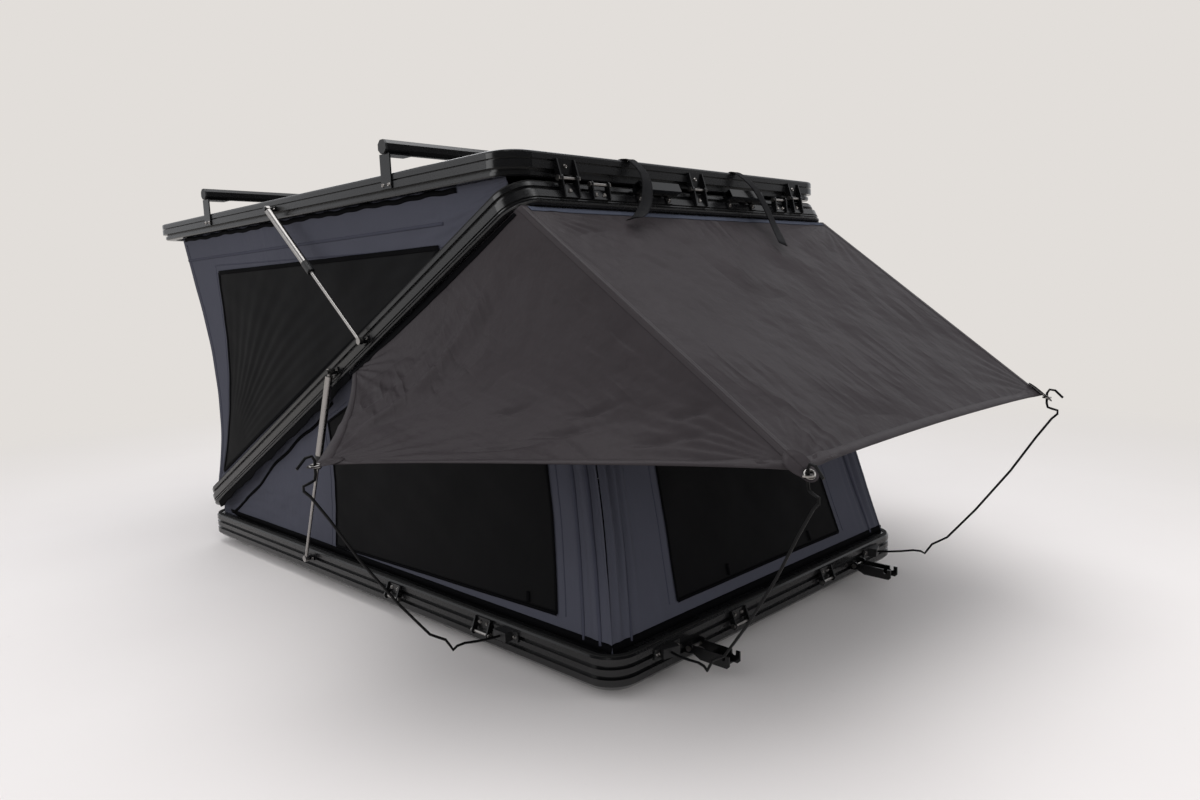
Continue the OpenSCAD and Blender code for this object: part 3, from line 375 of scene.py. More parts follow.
def coat_finish(name, colour, worn, roughness, grain, shine=0.4):
    """Powder coat: fine orange peel, cloudy sheen and a trace of dust on faces that look up."""
    coat = material(name)
    place = coat.place()
    cloud = coat.noise(place, 9, 4)
    peel = coat.noise(place, grain, 1)
    streak = coat.noise(coat.stretched(place, (3, 60, 60)), 4, 3)
    up = coat.node("ShaderNodeSeparateXYZ", {},
                   {0: coat.node("ShaderNodeNewGeometry", {}, {}, "Normal")}, "Z")
    dust = coat.ramp(up, 0.6, 1.0) * coat.ramp(cloud, 0.35, 0.7)
    tone = coat.blend(dust * 0.4 + cloud * 0.3, paint(*colour), paint(*worn))
    sheen = roughness + (cloud - 0.5) * 0.12 + streak * 0.06
    return coat.surface({"Base Color": tone, "Roughness": sheen, "Specular IOR Level": shine,
                         "Normal": coat.bump(peel, 0.0002, 0.05)})


rail_coat = coat_finish("rail_coat", (13, 13, 14), (27, 27, 28), 0.24, 900)
corner_coat = coat_finish("corner_coat", (11, 11, 12), (24, 24, 25), 0.18, 500, 0.5)
dress(rail_coat, "_rails", "roof_bars")
dress(corner_coat, "_corners")

# Floor and roof panels. Aluminium skins on a foam core; the roof's skin is coated like the frame.
floor_skin = material("floor_skin")
skin_grain = floor_skin.noise(floor_skin.stretched(floor_skin.place(), (2, 90, 90)), 12, 3)
skin_tone = floor_skin.blend(skin_grain, paint(150, 151, 153), paint(178, 179, 181))
floor_skin.surface({"Base Color": skin_tone, "Metallic": 1.0, "Roughness": 0.38 + skin_grain * 0.12})
dress(floor_skin.owner, "floor_panel")
dress(coat_finish("roof_skin", (26, 26, 27), (42, 42, 43), 0.5, 350), "roof_panel")

# Hinges, latches, keepers and pin brackets. Folded steel plate, coated black, bolted to the slots
# of the extrusions; their pins are bright stainless steel.
plate_coat = coat_finish("plate_coat", (7, 7, 8), (17, 17, 18), 0.2, 700)
dress(plate_coat, "_leaves", "_brackets", "_keepers", "_studs", "grab_tubes", "_hook_left", "_hook_right")
dress(coat_finish("rod_coat", (6, 6, 7), (12, 12, 13), 0.45, 900, 0.15), "awning_rods")

# Drawn stainless steel, with fine lines along it and faint smears
steel = material("stainless")
steel_place = steel.place()
steel_lines = steel.noise(steel.stretched(steel_place, (6, 400, 400)), 5, 2)
steel_smear = steel.noise(steel_place, 30, 3)
steel_tone = steel.blend(steel_lines, paint(134, 131, 129), paint(170, 167, 164))
stainless = steel.surface({"Base Color": steel_tone, "Metallic": 1.0,
                           "Roughness": 0.2 + steel_smear * 0.12 + steel_lines * 0.05})
dress(stainless, "_pins", "_pivots", "_grommets")


def grained_finish(name, colour, light, roughness, scale, detail, relief, shine=0.5, uneven=0.0):
    """One grain for tone, sheen and relief; the relief is given as its depth and its strength."""
    skin = material(name)
    grain = skin.noise(skin.place(), scale, detail)
    return skin.surface({"Base Color": skin.blend(grain, paint(*colour), paint(*light)),
                         "Roughness": roughness + grain * uneven, "Specular IOR Level": shine,
                         "Normal": skin.bump(grain, *relief)})


moulded = grained_finish("moulded_plastic", (12, 12, 13), (22, 22, 23), 0.48, 500, 2, (0.0002, 0.4),
                         uneven=0.1)
dress(moulded, "rod_sockets", "roof_bar_caps")

# Bolts. Stainless button heads with a recess, which hold the brackets to the slots of the frames.
HEAD_H = 3.5 * MM
HEAD_R, SMALL_HEAD_R = 5.5 * MM, 3.2 * MM
# Shares of a head's radius: its flat top and the rim round the recess
HEAD_TOP, RECESS_RIM = 0.75, 0.3
RECESS_D = 0.6 * HEAD_H
# Places in the folded tent, in millimetres
PLATE_X, PLATE_Y = 1054, 679
HINGES, LATCHES = (-500, 0, 500), (-400, 400)


def on_end(end, y, z):
    """A bolt on the outer face of a plate at the front (1) or the rear (-1) of the folded tent."""
    return (end * PLATE_X, y, z), (end, 0, 0), HEAD_R


def on_sides(x, z, radius=HEAD_R):
    return [((x, side * PLATE_Y, z), (0, side, 0), radius) for side in (-1, 1)]


def bolt_heads(body, open_body, places):
    """One piece for all the bolts that ride on a body."""
    bm = bmesh.new()
    for point, out, radius in places:
        turn = Vector(out).to_track_quat("Z", "Y").to_matrix().to_4x4()
        seat = open_body @ Matrix.Translation(Vector(point) * MM)
        there = seat @ turn @ Matrix.Translation((0, 0, HEAD_H / 2))
        head = bmesh.ops.create_cone(bm, cap_ends=True, segments=20, radius1=radius,
                                     radius2=HEAD_TOP * radius, depth=HEAD_H, matrix=there)["verts"]
        way = there.to_3x3() @ Vector((0, 0, 1))
        faces = {face for vert in head for face in vert.link_faces}
        crown = max(faces, key=lambda face: face.calc_center_median().dot(way))
        bmesh.ops.inset_individual(bm, faces=[crown], thickness=RECESS_RIM * radius, depth=-RECESS_D)
    piece = finished_piece("bolts_" + body, bm, stainless)
    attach(piece, body)


base_bolts = [on_end(-1, y, 84) for y in HINGES]
mid_bolts = [on_end(1, y, 148) for y in HINGES] + [on_end(-1, y, 140) for y in HINGES]
lid_bolts = [on_end(1, y, 206) for y in HINGES]
for apart in (-14, 14):
    base_bolts += [on_end(1, y + apart, 93) for y in (-215, 215)]
    base_bolts += on_sides(205 + apart, 93) + on_sides(605 + apart, 93)
    mid_bolts += [on_end(1, y + apart, 142) for y in LATCHES]
    lid_bolts += [on_end(-1, y + apart, 225) for y in LATCHES]
    lid_bolts += on_sides(565 + apart, 208) + on_sides(-565 + apart, 208)
for apart in (-35, 35):
    base_bolts += [on_end(1, y + apart, 87) for y in (-495, 495)] + on_sides(690 + apart, 87)
for apart in (-58, 58):
    mid_bolts += [on_end(1, y + apart, 139) for y in (-195, 195)]
for apart in (-12.3, 12.3):
    base_bolts += on_sides(-274 + apart, 87, SMALL_HEAD_R)
    mid_bolts += on_sides(109 + apart, 141, SMALL_HEAD_R) + on_sides(309 + apart, 141, SMALL_HEAD_R)
    lid_bolts += on_sides(-75 + apart, 207, SMALL_HEAD_R)
bolt_heads("base", Matrix(), base_bolts)
bolt_heads("mid", mid_open, mid_bolts)
bolt_heads("lid", lid_open, lid_bolts)

# Gas struts. Bright stainless cylinders and polished rods on ball studs, with a black collar over
# the gland where the rod leaves the cylinder.
STRUT_Y = 697
# Radius and distance from the cylinder's eye, round the section of the collar
COLLAR_SECTION = ((11.2, 276), (12.4, 276), (12.4, 316), (11.4, 319), (5.6, 319), (5.6, 316),
                  (11.2, 316))
STRUT_ENDS = {
    "lower": (mid_open @ Vector((0.109, 0, 0.141)), Vector((-0.274, 0, 0.087))),
    "upper": (lid_open @ Vector((-0.075, 0, 0.207)), mid_open @ Vector((0.309, 0, 0.141))),
}
dress(stainless, "_cylinder_left", "_cylinder_right", "_rod_left", "_rod_right")
for strut_level, (strut_eye, strut_end) in STRUT_ENDS.items():
    strut_way = (strut_end - strut_eye).normalized()
    for strut_side, strut_sign in (("left", -1), ("right", 1)):
        collar_bm = bmesh.new()
        section = [collar_bm.verts.new((radius * MM, 0, reach * MM)) for radius, reach in COLLAR_SECTION]
        outline = [collar_bm.edges.new(pair) for pair in zip(section, section[1:] + section[:1])]
        bmesh.ops.spin(collar_bm, geom=section + outline, cent=(0, 0, 0), axis=(0, 0, 1),
                       angle=math.tau, steps=32, use_merge=True)
        bmesh.ops.recalc_face_normals(collar_bm, faces=collar_bm.faces)
        collar_at = Matrix.Translation(strut_eye + Vector((0, strut_sign * STRUT_Y * MM, 0)))
        collar_bm.transform(collar_at @ strut_way.to_track_quat("Z", "Y").to_matrix().to_4x4())
        collar = finished_piece(f"{strut_level}_collar_{strut_side}", collar_bm, moulded)
        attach(collar, f"{strut_level}_cylinder_{strut_side}")

# Rubber seals. Black foam section glued on the upper faces of the base and the middle frame.
foam = grained_finish("seal_rubber", (10, 10, 10), (18, 18, 18), 0.85, 800, 2, (0.0003, 0.5))
dress(foam, "_seal")

# Lower walls. Blue-grey poly-cotton canvas, welted into the base frame and under the middle frame:
# two long sides and a front that leans back. Corners are pleated where the sewn panels meet.
shell_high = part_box("base_corners")[1]
HALF_L, HALF_W = shell_high.x, shell_high.y
BASE_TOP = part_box("base_side_rails")[1].z
SEAL_GAP, MID_H, LID_GAP, LID_H = 3 * MM, 62 * MM, 4 * MM, 59 * MM
MID_UNDER = mid_axle.z + SEAL_GAP / 2
MID_TOP = MID_UNDER + MID_H
LID_UNDER = MID_TOP + LID_GAP
WALL_IN = 34 * MM
CLOTH_T = 3 * MM
CLOTH_GAP = 0.3 * MM
CLOTH_Y, CLOTH_X = HALF_W - WALL_IN, HALF_L - WALL_IN
REAR_CLEAR = 14 * MM
WALL_BOW, CORNER_BOW = 30 * MM, 45 * MM
# Depth of the corner pleats, how many the whole wall would have, and how far they lean
SIDE_PLEAT_D, SIDE_PLEATS = 10 * MM, 34
FRONT_PLEAT_D, FRONT_PLEATS = 9 * MM, 36
PLEAT_LEAN = 2.5
RIPPLES = 2.6
SLACK_OUT = 6 * MM
WALL_FOOT = BASE_TOP + CLOTH_GAP + 0.2 * MM
MID_SLOPE = math.tan(math.radians(joints["mid_fold"]["range_deg"][1]))
CROSS_CLEAR = 2 * CLOTH_T * MID_SLOPE
lower_top = mid_open @ Vector((CLOTH_X, 0, MID_UNDER - CLOTH_GAP))


def mix(a, b, t):
    return a + (b - a) * t


def ease(low, high, value):
    t = min(max((value - low) / (high - low), 0.0), 1.0)
    return t * t * (3 - 2 * t)


def arch(t):
    """0 at both held edges, 1 half way."""
    return max(math.sin(math.pi * t), 0.0)


def ripple(u, v, seed):
    """Small uneven waves of slack cloth, about a millimetre deep, the same each run."""
    return (math.sin(17.3 * u + 9.1 * v + seed) + 0.6 * math.sin(31.7 * u - 14.2 * v + 2.3 * seed)
            + 0.4 * math.sin(53.1 * u + 37.9 * v + 1.7 * seed)) * 0.5 * MM


def lower_left(u, v):
    foot_x = mix(-CLOTH_X + REAR_CLEAR, CLOTH_X, u)
    top_x = foot_x - (CLOTH_X - lower_top.x) * u ** 4
    top_z = lower_top.z + (top_x - lower_top.x) * MID_SLOPE
    waves = math.sin(math.tau * (u - 0.925) * SIDE_PLEATS + PLEAT_LEAN * v)
    pleats = SIDE_PLEAT_D * ease(0.925, 0.985, u) * waves
    depth = (WALL_BOW * u + CORNER_BOW * u ** 6) * arch(v)
    slack = (pleats + RIPPLES * ripple(u * 1.2, v, 1.0)) * arch(v) ** 0.6
    y = -CLOTH_Y + depth + max(slack, -SLACK_OUT)
    return Vector((mix(foot_x, top_x, v), y, mix(WALL_FOOT, top_z, v)))


def lower_front(u, v):
    side = CLOTH_Y - CLOTH_T - (WALL_BOW + CORNER_BOW) * arch(v)
    edge = min(u, 1 - u)
    waves = math.sin(math.tau * edge * FRONT_PLEATS + PLEAT_LEAN * v)
    pleats = FRONT_PLEAT_D * (1 - ease(0.03, 0.11, edge)) * waves
    depth = WALL_BOW * arch(v) * arch(u)
    slack = (pleats + RIPPLES * ripple(u * 0.9, v, 4.0)) * arch(v) ** 0.6 * ease(0, 0.02, edge)
    return Vector((mix(CLOTH_X, lower_top.x, v) - CLOTH_T - depth - slack, mix(-side, side, u),
                   mix(WALL_FOOT, lower_top.z - CROSS_CLEAR, v)))


def mirror_y(p):
    return Vector((p.x, -p.y, p.z))


def mirrored(surface):
    """The same cloth on the other side of the tent, still facing out."""
    return lambda u, v: mirror_y(surface(1 - u, v))


def cloth_finish(name, colour, light, roughness, creases=0.3, shine=0.3, pattern="UV", depth=0.03):
    """Tent cloth: fine thread grain, cloudy fading, and creases drawn out along the cut."""
    cloth = material(name)
    cut, place = cloth.place(pattern), cloth.place()
    grain = cloth.noise(cut, 1400, 1)
    drawn = cloth.noise(cloth.stretched(cut, (7, 1.7, 1)), 1.5, 2, 0.45)
    crease = 1 - (drawn * 2 - 1).maths("ABSOLUTE", 0.0)
    patches = cloth.ramp(cloth.noise(place, 2.6, 1), 0.46, 0.66)
    crumple = cloth.noise(place, 6, 4, 0.5)
    fade = cloth.noise(place, 2.3, 3)
    tone = cloth.blend(fade * 0.7 + grain * 0.3, paint(*colour), paint(*light))
    weave = cloth.bump(grain, 0.0003, 0.3)
    normal = cloth.bump(crease * patches * 0.5 + crumple * 0.5, depth, creases, weave)
    return cloth.surface({"Base Color": tone, "Roughness": roughness + (fade - 0.5) * 0.1,
                          "Normal": normal, "Specular IOR Level": shine})


canvas = cloth_finish("canvas", (55, 56, 64), (70, 71, 81), 0.85, 0.5, 0.12)
# What is left of the walls' height when folded, and how far past the frame's edge they go
FOLDED_SHARE, FOLD_IN = 0.004, 8 * MM


def hang_low(piece):
    """Cloth between base and middle frame rides on the base, with a mesh of its own."""
    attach(piece, "base")
    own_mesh(piece)


def area_of(surface, columns=60, rows=30):
    grid = [[surface(i / columns, j / rows) for j in range(rows + 1)] for i in range(columns + 1)]
    return sum((there[j + 1] - here[j]).cross(here[j + 1] - there[j]).length / 2
               for here, there in zip(grid, grid[1:]) for j in range(rows))


def held_cloth(node, surface, cut):
    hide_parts(node)
    area_of(surface)


WALL_SKIN = 0.9 * MM
WALL_ROWS = 90


def wall_piece(storey, side, columns, cut, surface, hang):
    """A wall's canvas, held along its edges by two frames."""
    wall = sheet_piece(f"{storey}_wall_{side}", columns, WALL_ROWS, cut, surface, canvas, WALL_SKIN)
    hang(wall)
    held_cloth(storey + "_walls", surface, cut)


LOWER_WALLS = {"left": lower_left, "right": mirrored(lower_left), "front": lower_front}
LOWER_CUTS = {"left": (2.06, 1.08), "right": (2.06, 1.08), "front": (1.30, 1.06)}
for wall_side, wall_surface in LOWER_WALLS.items():
    wall_piece("lower", wall_side, 240, LOWER_CUTS[wall_side], wall_surface, hang_low)

# Bindings and seams of the lower walls. A black coated band along the foot, a black piping that
# wanders below the middle frame, and the doubled seams beside the corner and the windows.


def facing(surface, u, v, step=1e-3):
    """Outward direction of a cloth at a place on it."""
    low_u, high_u = max(u - step, 0.0), min(u + step, 1.0)
    low_v, high_v = max(v - step, 0.0), min(v + step, 1.0)
    ahead = surface(high_u, v) - surface(low_u, v)
    return ahead.cross(surface(u, high_v) - surface(u, low_v)).normalized()


def ribbon(surface, line, width, lift, crown=0.0):
    """A narrow tape along line(s), which gives U and V on a cloth, raised off it."""
    def part(s, t):
        u, v = line(s)
        out = facing(surface, u, v)
        ahead = (surface(*line(min(s + 2e-3, 1.0))) - surface(*line(max(s - 2e-3, 0.0)))).normalized()
        return (surface(u, v) + out.cross(ahead) * (t - 0.5) * width
                + out * (lift + crown * (1 - (2 * t - 1) ** 2)))
    return part


def sew_tapes(name, tapes, finish, hang):
    """Several tapes in one piece that moves with its cloth; each is a surface, a line on it, a
    width, a lift and a crown."""
    bm = bmesh.new()
    for surface, line, width, lift, crown in tapes:
        length = length_of([surface(*line(k / 30)) for k in range(31)])
        lay_sheet(bm, max(6, int(length / 0.012)), 4 if crown else 2, (length, width),
                  ribbon(surface, line, width, lift, crown))
    piece = finished_piece(name, bm, finish, TAPE_T)
    hang(piece)


# Black tape; its shineless near-black is partly painted shade, for the gap under the middle frame.
black_tape_and_shade = cloth_finish("black_tape_and_shade", (5, 5, 6), (10, 10, 12), 0.7, 0.2, 0.02)
seam_cloth = cloth_finish("seam_cloth", (48, 49, 58), (60, 61, 73), 0.85, 0.2, 0.15)


def height_at(surface, u):
    return (surface(u, 1.0) - surface(u, 0.0)).length


def level(surface, rise, u0=0.0, u1=1.0, wave=0.0, waves=9.0):
    """A line at a height above a wall's foot; a negative rise is measured down from its top."""
    def line(s):
        u = mix(u0, u1, s)
        here = rise + wave * math.sin(waves * s * math.tau) * math.sin(3.1 * waves * s + 1.0)
        share = here / height_at(surface, u)
        return u, min(max(share if rise > 0 else 1 + share, 0.0), 1.0)
    return line


def upright(u_low, u_high, top=0.99):
    return lambda s: (mix(u_low, u_high, s), mix(0.01, top, s))


def facing_edge(surface, u0, u1):
    """Lower edge of the facing under the middle frame: it wanders off the rail and back to it."""
    def line(s):
        u = mix(u0, u1, s)
        wander = 7 * MM * math.sin(9.0 * s) + 4 * MM * math.sin(23.0 * s + 1.0)
        away = mix(FACING_REAR, FACING_FORE, s) + wander
        return u, max(1 - away / height_at(surface, u), 0.0)
    return line


def across(side, u):
    """A place along the left wall, on the wall of a side."""
    return 1 - u if side == "right" else u


FACING_REAR, FACING_FORE = 66 * MM, 20 * MM
TAPE_T = 0.5 * MM
# Width, lift and crown of each tape
FOOT_BAND = (20 * MM, 1.2 * MM, 0)
LOWER_SEAM, UPPER_SEAM = (9 * MM, 0.6 * MM, 1.2 * MM), (9 * MM, 0.4 * MM, 1.2 * MM)
PIPING = (11 * MM, 1 * MM, 3 * MM)
FOOT_ENDS = {"left": (0.03, 1.0), "right": (0.0, 0.97), "front": (0.0, 1.0)}
SIDE_SEAMS, FRONT_SEAMS = ((0.955, 0.95), (0.982, 0.975)), ((0.05, 0.06), (0.95, 0.94))
for wall_side, wall_surface in LOWER_WALLS.items():
    foot = (wall_surface, level(wall_surface, FOOT_BAND[0] / 2, *FOOT_ENDS[wall_side]), *FOOT_BAND)
    sew_tapes("lower_foot_band_" + wall_side, [foot], black_tape_and_shade, hang_low)
    seams = [(wall_surface, upright(across(wall_side, a), across(wall_side, b)), *LOWER_SEAM)
             for a, b in (FRONT_SEAMS if wall_side == "front" else SIDE_SEAMS)]
    sew_tapes("lower_seams_" + wall_side, seams, seam_cloth, hang_low)
    if wall_side != "front":
        piping_line = facing_edge(wall_surface, across(wall_side, 0.045), across(wall_side, 0.43))
        piping = (wall_surface, piping_line, *PIPING)
        sew_tapes("lower_piping_" + wall_side, [piping], black_tape_and_shade, hang_low)

# Lower windows. Black insect mesh with a dark binding, sewn on the outside of the walls, with a
# tie at each end of the sill for the rolled-up cover.
SCREEN_OUT = 2.0 * MM
SCREEN_T = 0.5 * MM
BORDER_OUT = 30 * MM
# Width, lift and crown of the ties and of the stitching
TIE, STITCHING = (11 * MM, SCREEN_OUT + 2.5 * MM, 1 * MM), (4 * MM, 0.3 * MM, 0.7 * MM)

insect_mesh = grained_finish("insect_mesh", (4, 4, 5), (10, 10, 12), 0.6, 4.0, 3, (0.012, 0.4), 0.06)


def field_between(u0, u1, v0, v1):
    """Maps shares of a four-sided field to U and V on its wall."""
    return lambda s, t: (mix(u0, u1, s), mix(v0, v1, t))


def flipped(at):
    """The same field on the mirrored wall."""
    def other(s, t):
        u, v = at(1 - s, t)
        return 1 - u, v
    return other


def window(storey, side, surface, at, cut, hang, tape_w, folds, ties=()):
    """A mesh panel, its four binding tapes, the stitched border round it and the ties at its sill."""
    name = f"{storey}_window_{side}"

    def panel_surface(s, t):
        u, v = at(s, t)
        return surface(u, v) + facing(surface, u, v) * (SCREEN_OUT + folds(s, t))

    panel = sheet_piece(name, 120, 70, cut, panel_surface, insect_mesh, SCREEN_T)
    hang(panel)
    held_cloth(storey + "_windows", panel_surface, cut)

    rim = (lambda s: at(s, 0.0), lambda s: at(1.0, s), lambda s: at(1 - s, 1.0), lambda s: at(0.0, 1 - s))
    tapes = [(surface, line, tape_w, SCREEN_OUT + 1.2 * MM, 0.8 * MM) for line in rim]
    for x in ties:
        tapes.append((surface, lambda s, x=x: at(x, mix(0.01, 0.045, s)), *TIE))
    sew_tapes(name + "_binding", tapes, black_tape_and_shade, hang)
    off_s, off_t = BORDER_OUT / cut[0], BORDER_OUT / cut[1]
    border = (lambda s: at(mix(-off_s, 1 + off_s, s), 1 + off_t),
              lambda s: at(-off_s, mix(0.0, 1 + off_t, s)),
              lambda s: at(1 + off_s, mix(0.0, 1 + off_t, s)))
    stitches = [(surface, line, *STITCHING) for line in border]
    sew_tapes(name + "_border", stitches, seam_cloth, hang)


def calm(s, t):
    """Faint unevenness of a mesh that is drawn tight."""
    return (0.8 * MM + ripple(s, t, 8.0)) * arch(s) * arch(t)


lower_side_field = field_between(0.41, 0.912, 0.05, 0.87)
LOWER_TAPE_W = 8 * MM
# Field on the wall, flat cut, and places of the ties along the sill
LOWER_WINDOWS = {
    "left": (lower_side_field, (1.03, 0.80), (0.06, 0.90)),
    "right": (flipped(lower_side_field), (1.03, 0.80), (0.10, 0.94)),
    "front": (field_between(0.19, 0.81, 0.05, 0.87), (0.80, 0.84), (0.28, 0.80)),
}
for wall_side, (field, window_cut, tie_places) in LOWER_WINDOWS.items():
    window("lower", wall_side, LOWER_WALLS[wall_side], field, window_cut, hang_low, LOWER_TAPE_W, calm,
           tie_places)

# Upper walls. The same canvas, welted on top of the middle frame and under the lid: two long
# sides and the rear, whose corners are drawn forward by the tension of the cloth.
REAR_LID_X = -HALF_L + 160 * MM
REAR_DRAW, REAR_TUCK = 62 * MM, 28 * MM
REAR_HEM = LID_UNDER + LID_H - 20 * MM - CLOTH_GAP


def rear_pull(v):
    return REAR_DRAW * arch(1 - max(1 - v, 0.0) ** 1.6)


def upper_low(u):
    return mid_open @ Vector((mix(-CLOTH_X, CLOTH_X - REAR_CLEAR, u), 0, MID_TOP + CLOTH_GAP))


def upper_high(u):
    return lid_open @ Vector((mix(REAR_LID_X, CLOTH_X - REAR_CLEAR, u), 0, LID_UNDER - CLOTH_GAP))


def upper_left(u, v):
    p = upper_low(u).lerp(upper_high(u), v)
    slack = RIPPLES * ripple(u * 1.2, v, 7.0) * arch(v) ** 0.6
    depth = WALL_BOW * (1 - u) * arch(v)
    return Vector((p.x + rear_pull(v) * (1 - u) ** 4, -CLOTH_Y + depth + slack, p.z))


def upper_rear(u, v):
    low = upper_low(0) + Vector((0, 0, CROSS_CLEAR))
    high = lid_open @ Vector((REAR_LID_X, 0, REAR_HEM))
    side = CLOTH_Y - CLOTH_T - WALL_BOW * arch(v) - REAR_TUCK * ease(0.92, 1.0, v)
    edge = min(u, 1 - u)
    depth = WALL_BOW * arch(v) * arch(u) + rear_pull(v)
    slack = RIPPLES * ripple(u * 0.9, v, 11.0) * arch(v) ** 0.6 * ease(0, 0.03, edge)
    x = mix(low.x, high.x, v) + CLOTH_T + depth + slack
    return Vector((x, mix(side, -side, u), mix(low.z, high.z, v)))


def hang_high(piece):
    """Cloth between middle frame and lid rides on the lid, with a mesh of its own."""
    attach(piece, "lid")
    lid_open @ Vector((0, 0, LID_UNDER + FOLD_IN))
    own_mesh(piece)


UPPER_WALLS = {"left": upper_left, "right": mirrored(upper_left), "rear": upper_rear}
HEM_DOWN, HEAD_SEAM_DOWN = 9 * MM, 85 * MM
UPPER_HEM = (14 * MM, 1.0 * MM, 2 * MM)
UPPER_CUTS = {"left": (2.06, 0.98), "right": (2.06, 0.98), "rear": (1.30, 1.0)}
for wall_side, wall_surface in UPPER_WALLS.items():
    wall_piece("upper", wall_side, 200, UPPER_CUTS[wall_side], wall_surface, hang_high)
    if wall_side == "rear":
        continue
    hem_line = level(wall_surface, -HEM_DOWN, across(wall_side, 0.01), across(wall_side, 0.90), 3 * MM, 11.0)
    hem = (wall_surface, hem_line, *UPPER_HEM)
    sew_tapes("upper_hem_" + wall_side, [hem], black_tape_and_shade, hang_high)
    head_line = level(wall_surface, -HEAD_SEAM_DOWN, across(wall_side, 0.0), across(wall_side, 0.86))
    corner_u = across(wall_side, 0.012)
    seams = [(wall_surface, line, *UPPER_SEAM) for line in (head_line, upright(corner_u, corner_u, 0.97))]
    sew_tapes("upper_seams_" + wall_side, seams, seam_cloth, hang_high)

# Upper windows. Mesh like the lower ones; the side windows narrow to the front between the frames,
# with a straight head under the lid and folds that fan out from the lower rear corner.
UPPER_TAPE_W = 14 * MM
FAN_D = 4.5 * MM
SILL = (Vector((0.035, 0.05)), Vector((0.822, 0.065)))
HEAD = (Vector((0.13, 0.83)), Vector((0.843, 0.185)))
head_rear, head_fore = (upper_low(p.x).lerp(upper_high(p.x), p.y) for p in HEAD)


def bell(off, width):
    """1 on a line, and less with the distance from it."""
    return math.exp(-(off / width) ** 2)


def plane_cross(a, b):
    return a.x * b.z - a.z * b.x


def upper_side_field(s, t):
    low = SILL[0].lerp(SILL[1], s)
    u = mix(HEAD[0].x, HEAD[1].x, s)
    foot, ahead = upper_low(u), head_fore - head_rear
    v = plane_cross(ahead, head_rear - foot) / plane_cross(ahead, upper_high(u) - foot)
    p = low.lerp(Vector((u, v)), t)
    return p.x, min(max(p.y, 0.0), 1.0)


def fanned(s, t):
    """Folds that spread from the lower rear corner of an upper side window."""
    reach, angle = math.hypot(1.5 * s, 0.75 * t), math.atan2(0.75 * t, 1.5 * s + 0.02)
    fold = 0.5 + 0.5 * math.sin(46 * angle + 4 * reach)
    return FAN_D * fold * (arch(s) * arch(t)) ** 0.5 * bell(reach, 0.7) + calm(s, t)


UPPER_WINDOWS = {
    "left": (upper_side_field, (1.55, 0.75), fanned),
    "right": (flipped(upper_side_field), (1.55, 0.75), lambda s, t: fanned(1 - s, t)),
    "rear": (field_between(3 / 14, 11 / 14, 2 / 12, 10 / 12), (0.76, 0.66), calm),
}
for wall_side, (field, window_cut, window_folds) in UPPER_WINDOWS.items():
    window("upper", wall_side, UPPER_WALLS[wall_side], field, window_cut, hang_high, UPPER_TAPE_W,
           window_folds)

# Awning. Coated dark grey cloth, welted under the middle frame's front and sides: a front panel
# and two wings, sewn together along the corners and held out by four grommets on spring rods.
AWNING_IN = 14 * MM
WING_RAIL_X = 170 * MM
AWNING_SAG = 22 * MM
EDGE_CURVE, REAR_CURVE = 11 * MM, 40 * MM
PULL_D, SEAM_FOLD_D = 2.6 * MM, 11 * MM
# Corner in U and V, number of folds in a full turn, and their reach in metres
FRONT_PULLS = ((0, 0, 24, 0.30), (1, 0, 24, 0.30), (0, 1, 30, 0.35), (1, 1, 30, 0.35))
WING_PULLS = ((0, 0, 30, 0.40), (1, 0, 24, 0.30), (0, 1, 26, 0.40), (1, 1, 34, 0.30))
RIDGE_H, BAND_BEND = 13 * MM, 2.0
CORNER_CUT = 12.4 * MM
GROMMET_R = 12 * MM
SIDE_SOCKET_X = 690 * MM
FRONT_GROMMET_Y = 629 * MM
grommet_low, grommet_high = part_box("awning_grommets")
GROMMET_Z = (grommet_low.z + grommet_high.z) / 2
awning_hem_z = MID_UNDER - CLOTH_T / 2 - CLOTH_GAP
top_corner = mid_open @ Vector((HALF_L - AWNING_IN, -HALF_W + AWNING_IN, awning_hem_z))
wing_end = mid_open @ Vector((WING_RAIL_X, -HALF_W + AWNING_IN, awning_hem_z))
front_grommet = Vector((grommet_high.x - GROMMET_R, -FRONT_GROMMET_Y, GROMMET_Z))
side_grommet = Vector((SIDE_SOCKET_X, grommet_low.y + GROMMET_R, GROMMET_Z))
front_hold = front_grommet + CORNER_CUT * (top_corner - front_grommet + Vector((0, 0.3, 0))).normalized()
side_hold = side_grommet + CORNER_CUT * (wing_end - side_grommet).normalized()


def pull_folds(u, v, width, height, corners):
    """Tension folds that spread from the held corners of a panel."""
    total = 0.0
    for corner_u, corner_v, count, reach in corners:
        x, y = abs(u - corner_u) * width, abs(v - corner_v) * height
        away = math.hypot(x, y)
        total += (math.sin(count * math.atan2(y, x + 1e-6) + 5 * away)
                  * bell(away, reach) * ease(0.0, 0.1, away))
    return PULL_D * total * ease(0, 0.07, u) * ease(0, 0.07, 1 - u) * ease(0, 0.05, 1 - v)


def seam_creases(away, v):
    """Broken folds that run beside a corner seam; away is a share of the panel's width."""
    depth = bell(away - 0.075, 0.014) + 0.5 * bell(away - 0.15, 0.02)
    broken = ease(0.25, 0.45, v) * (1 - ease(0.75, 0.92, v)) * (0.6 + 0.4 * math.sin(37 * v + 2))
    return SEAM_FOLD_D * depth * broken


# Height, place along the hem and half length of each fold, as shares of the panel, and its depth
HEM_FOLDS = ((0.10, 0.42, 0.09, 8 * MM), (0.17, 0.60, 0.07, 10 * MM), (0.11, 0.80, 0.10, 8 * MM),
             (0.25, 0.70, 0.06, 10 * MM), (0.31, 0.52, 0.05, 9 * MM), (0.20, 0.90, 0.05, 10 * MM))
HEM_FOLD_SLANT, HEM_FOLD_W = 0.2, 0.012


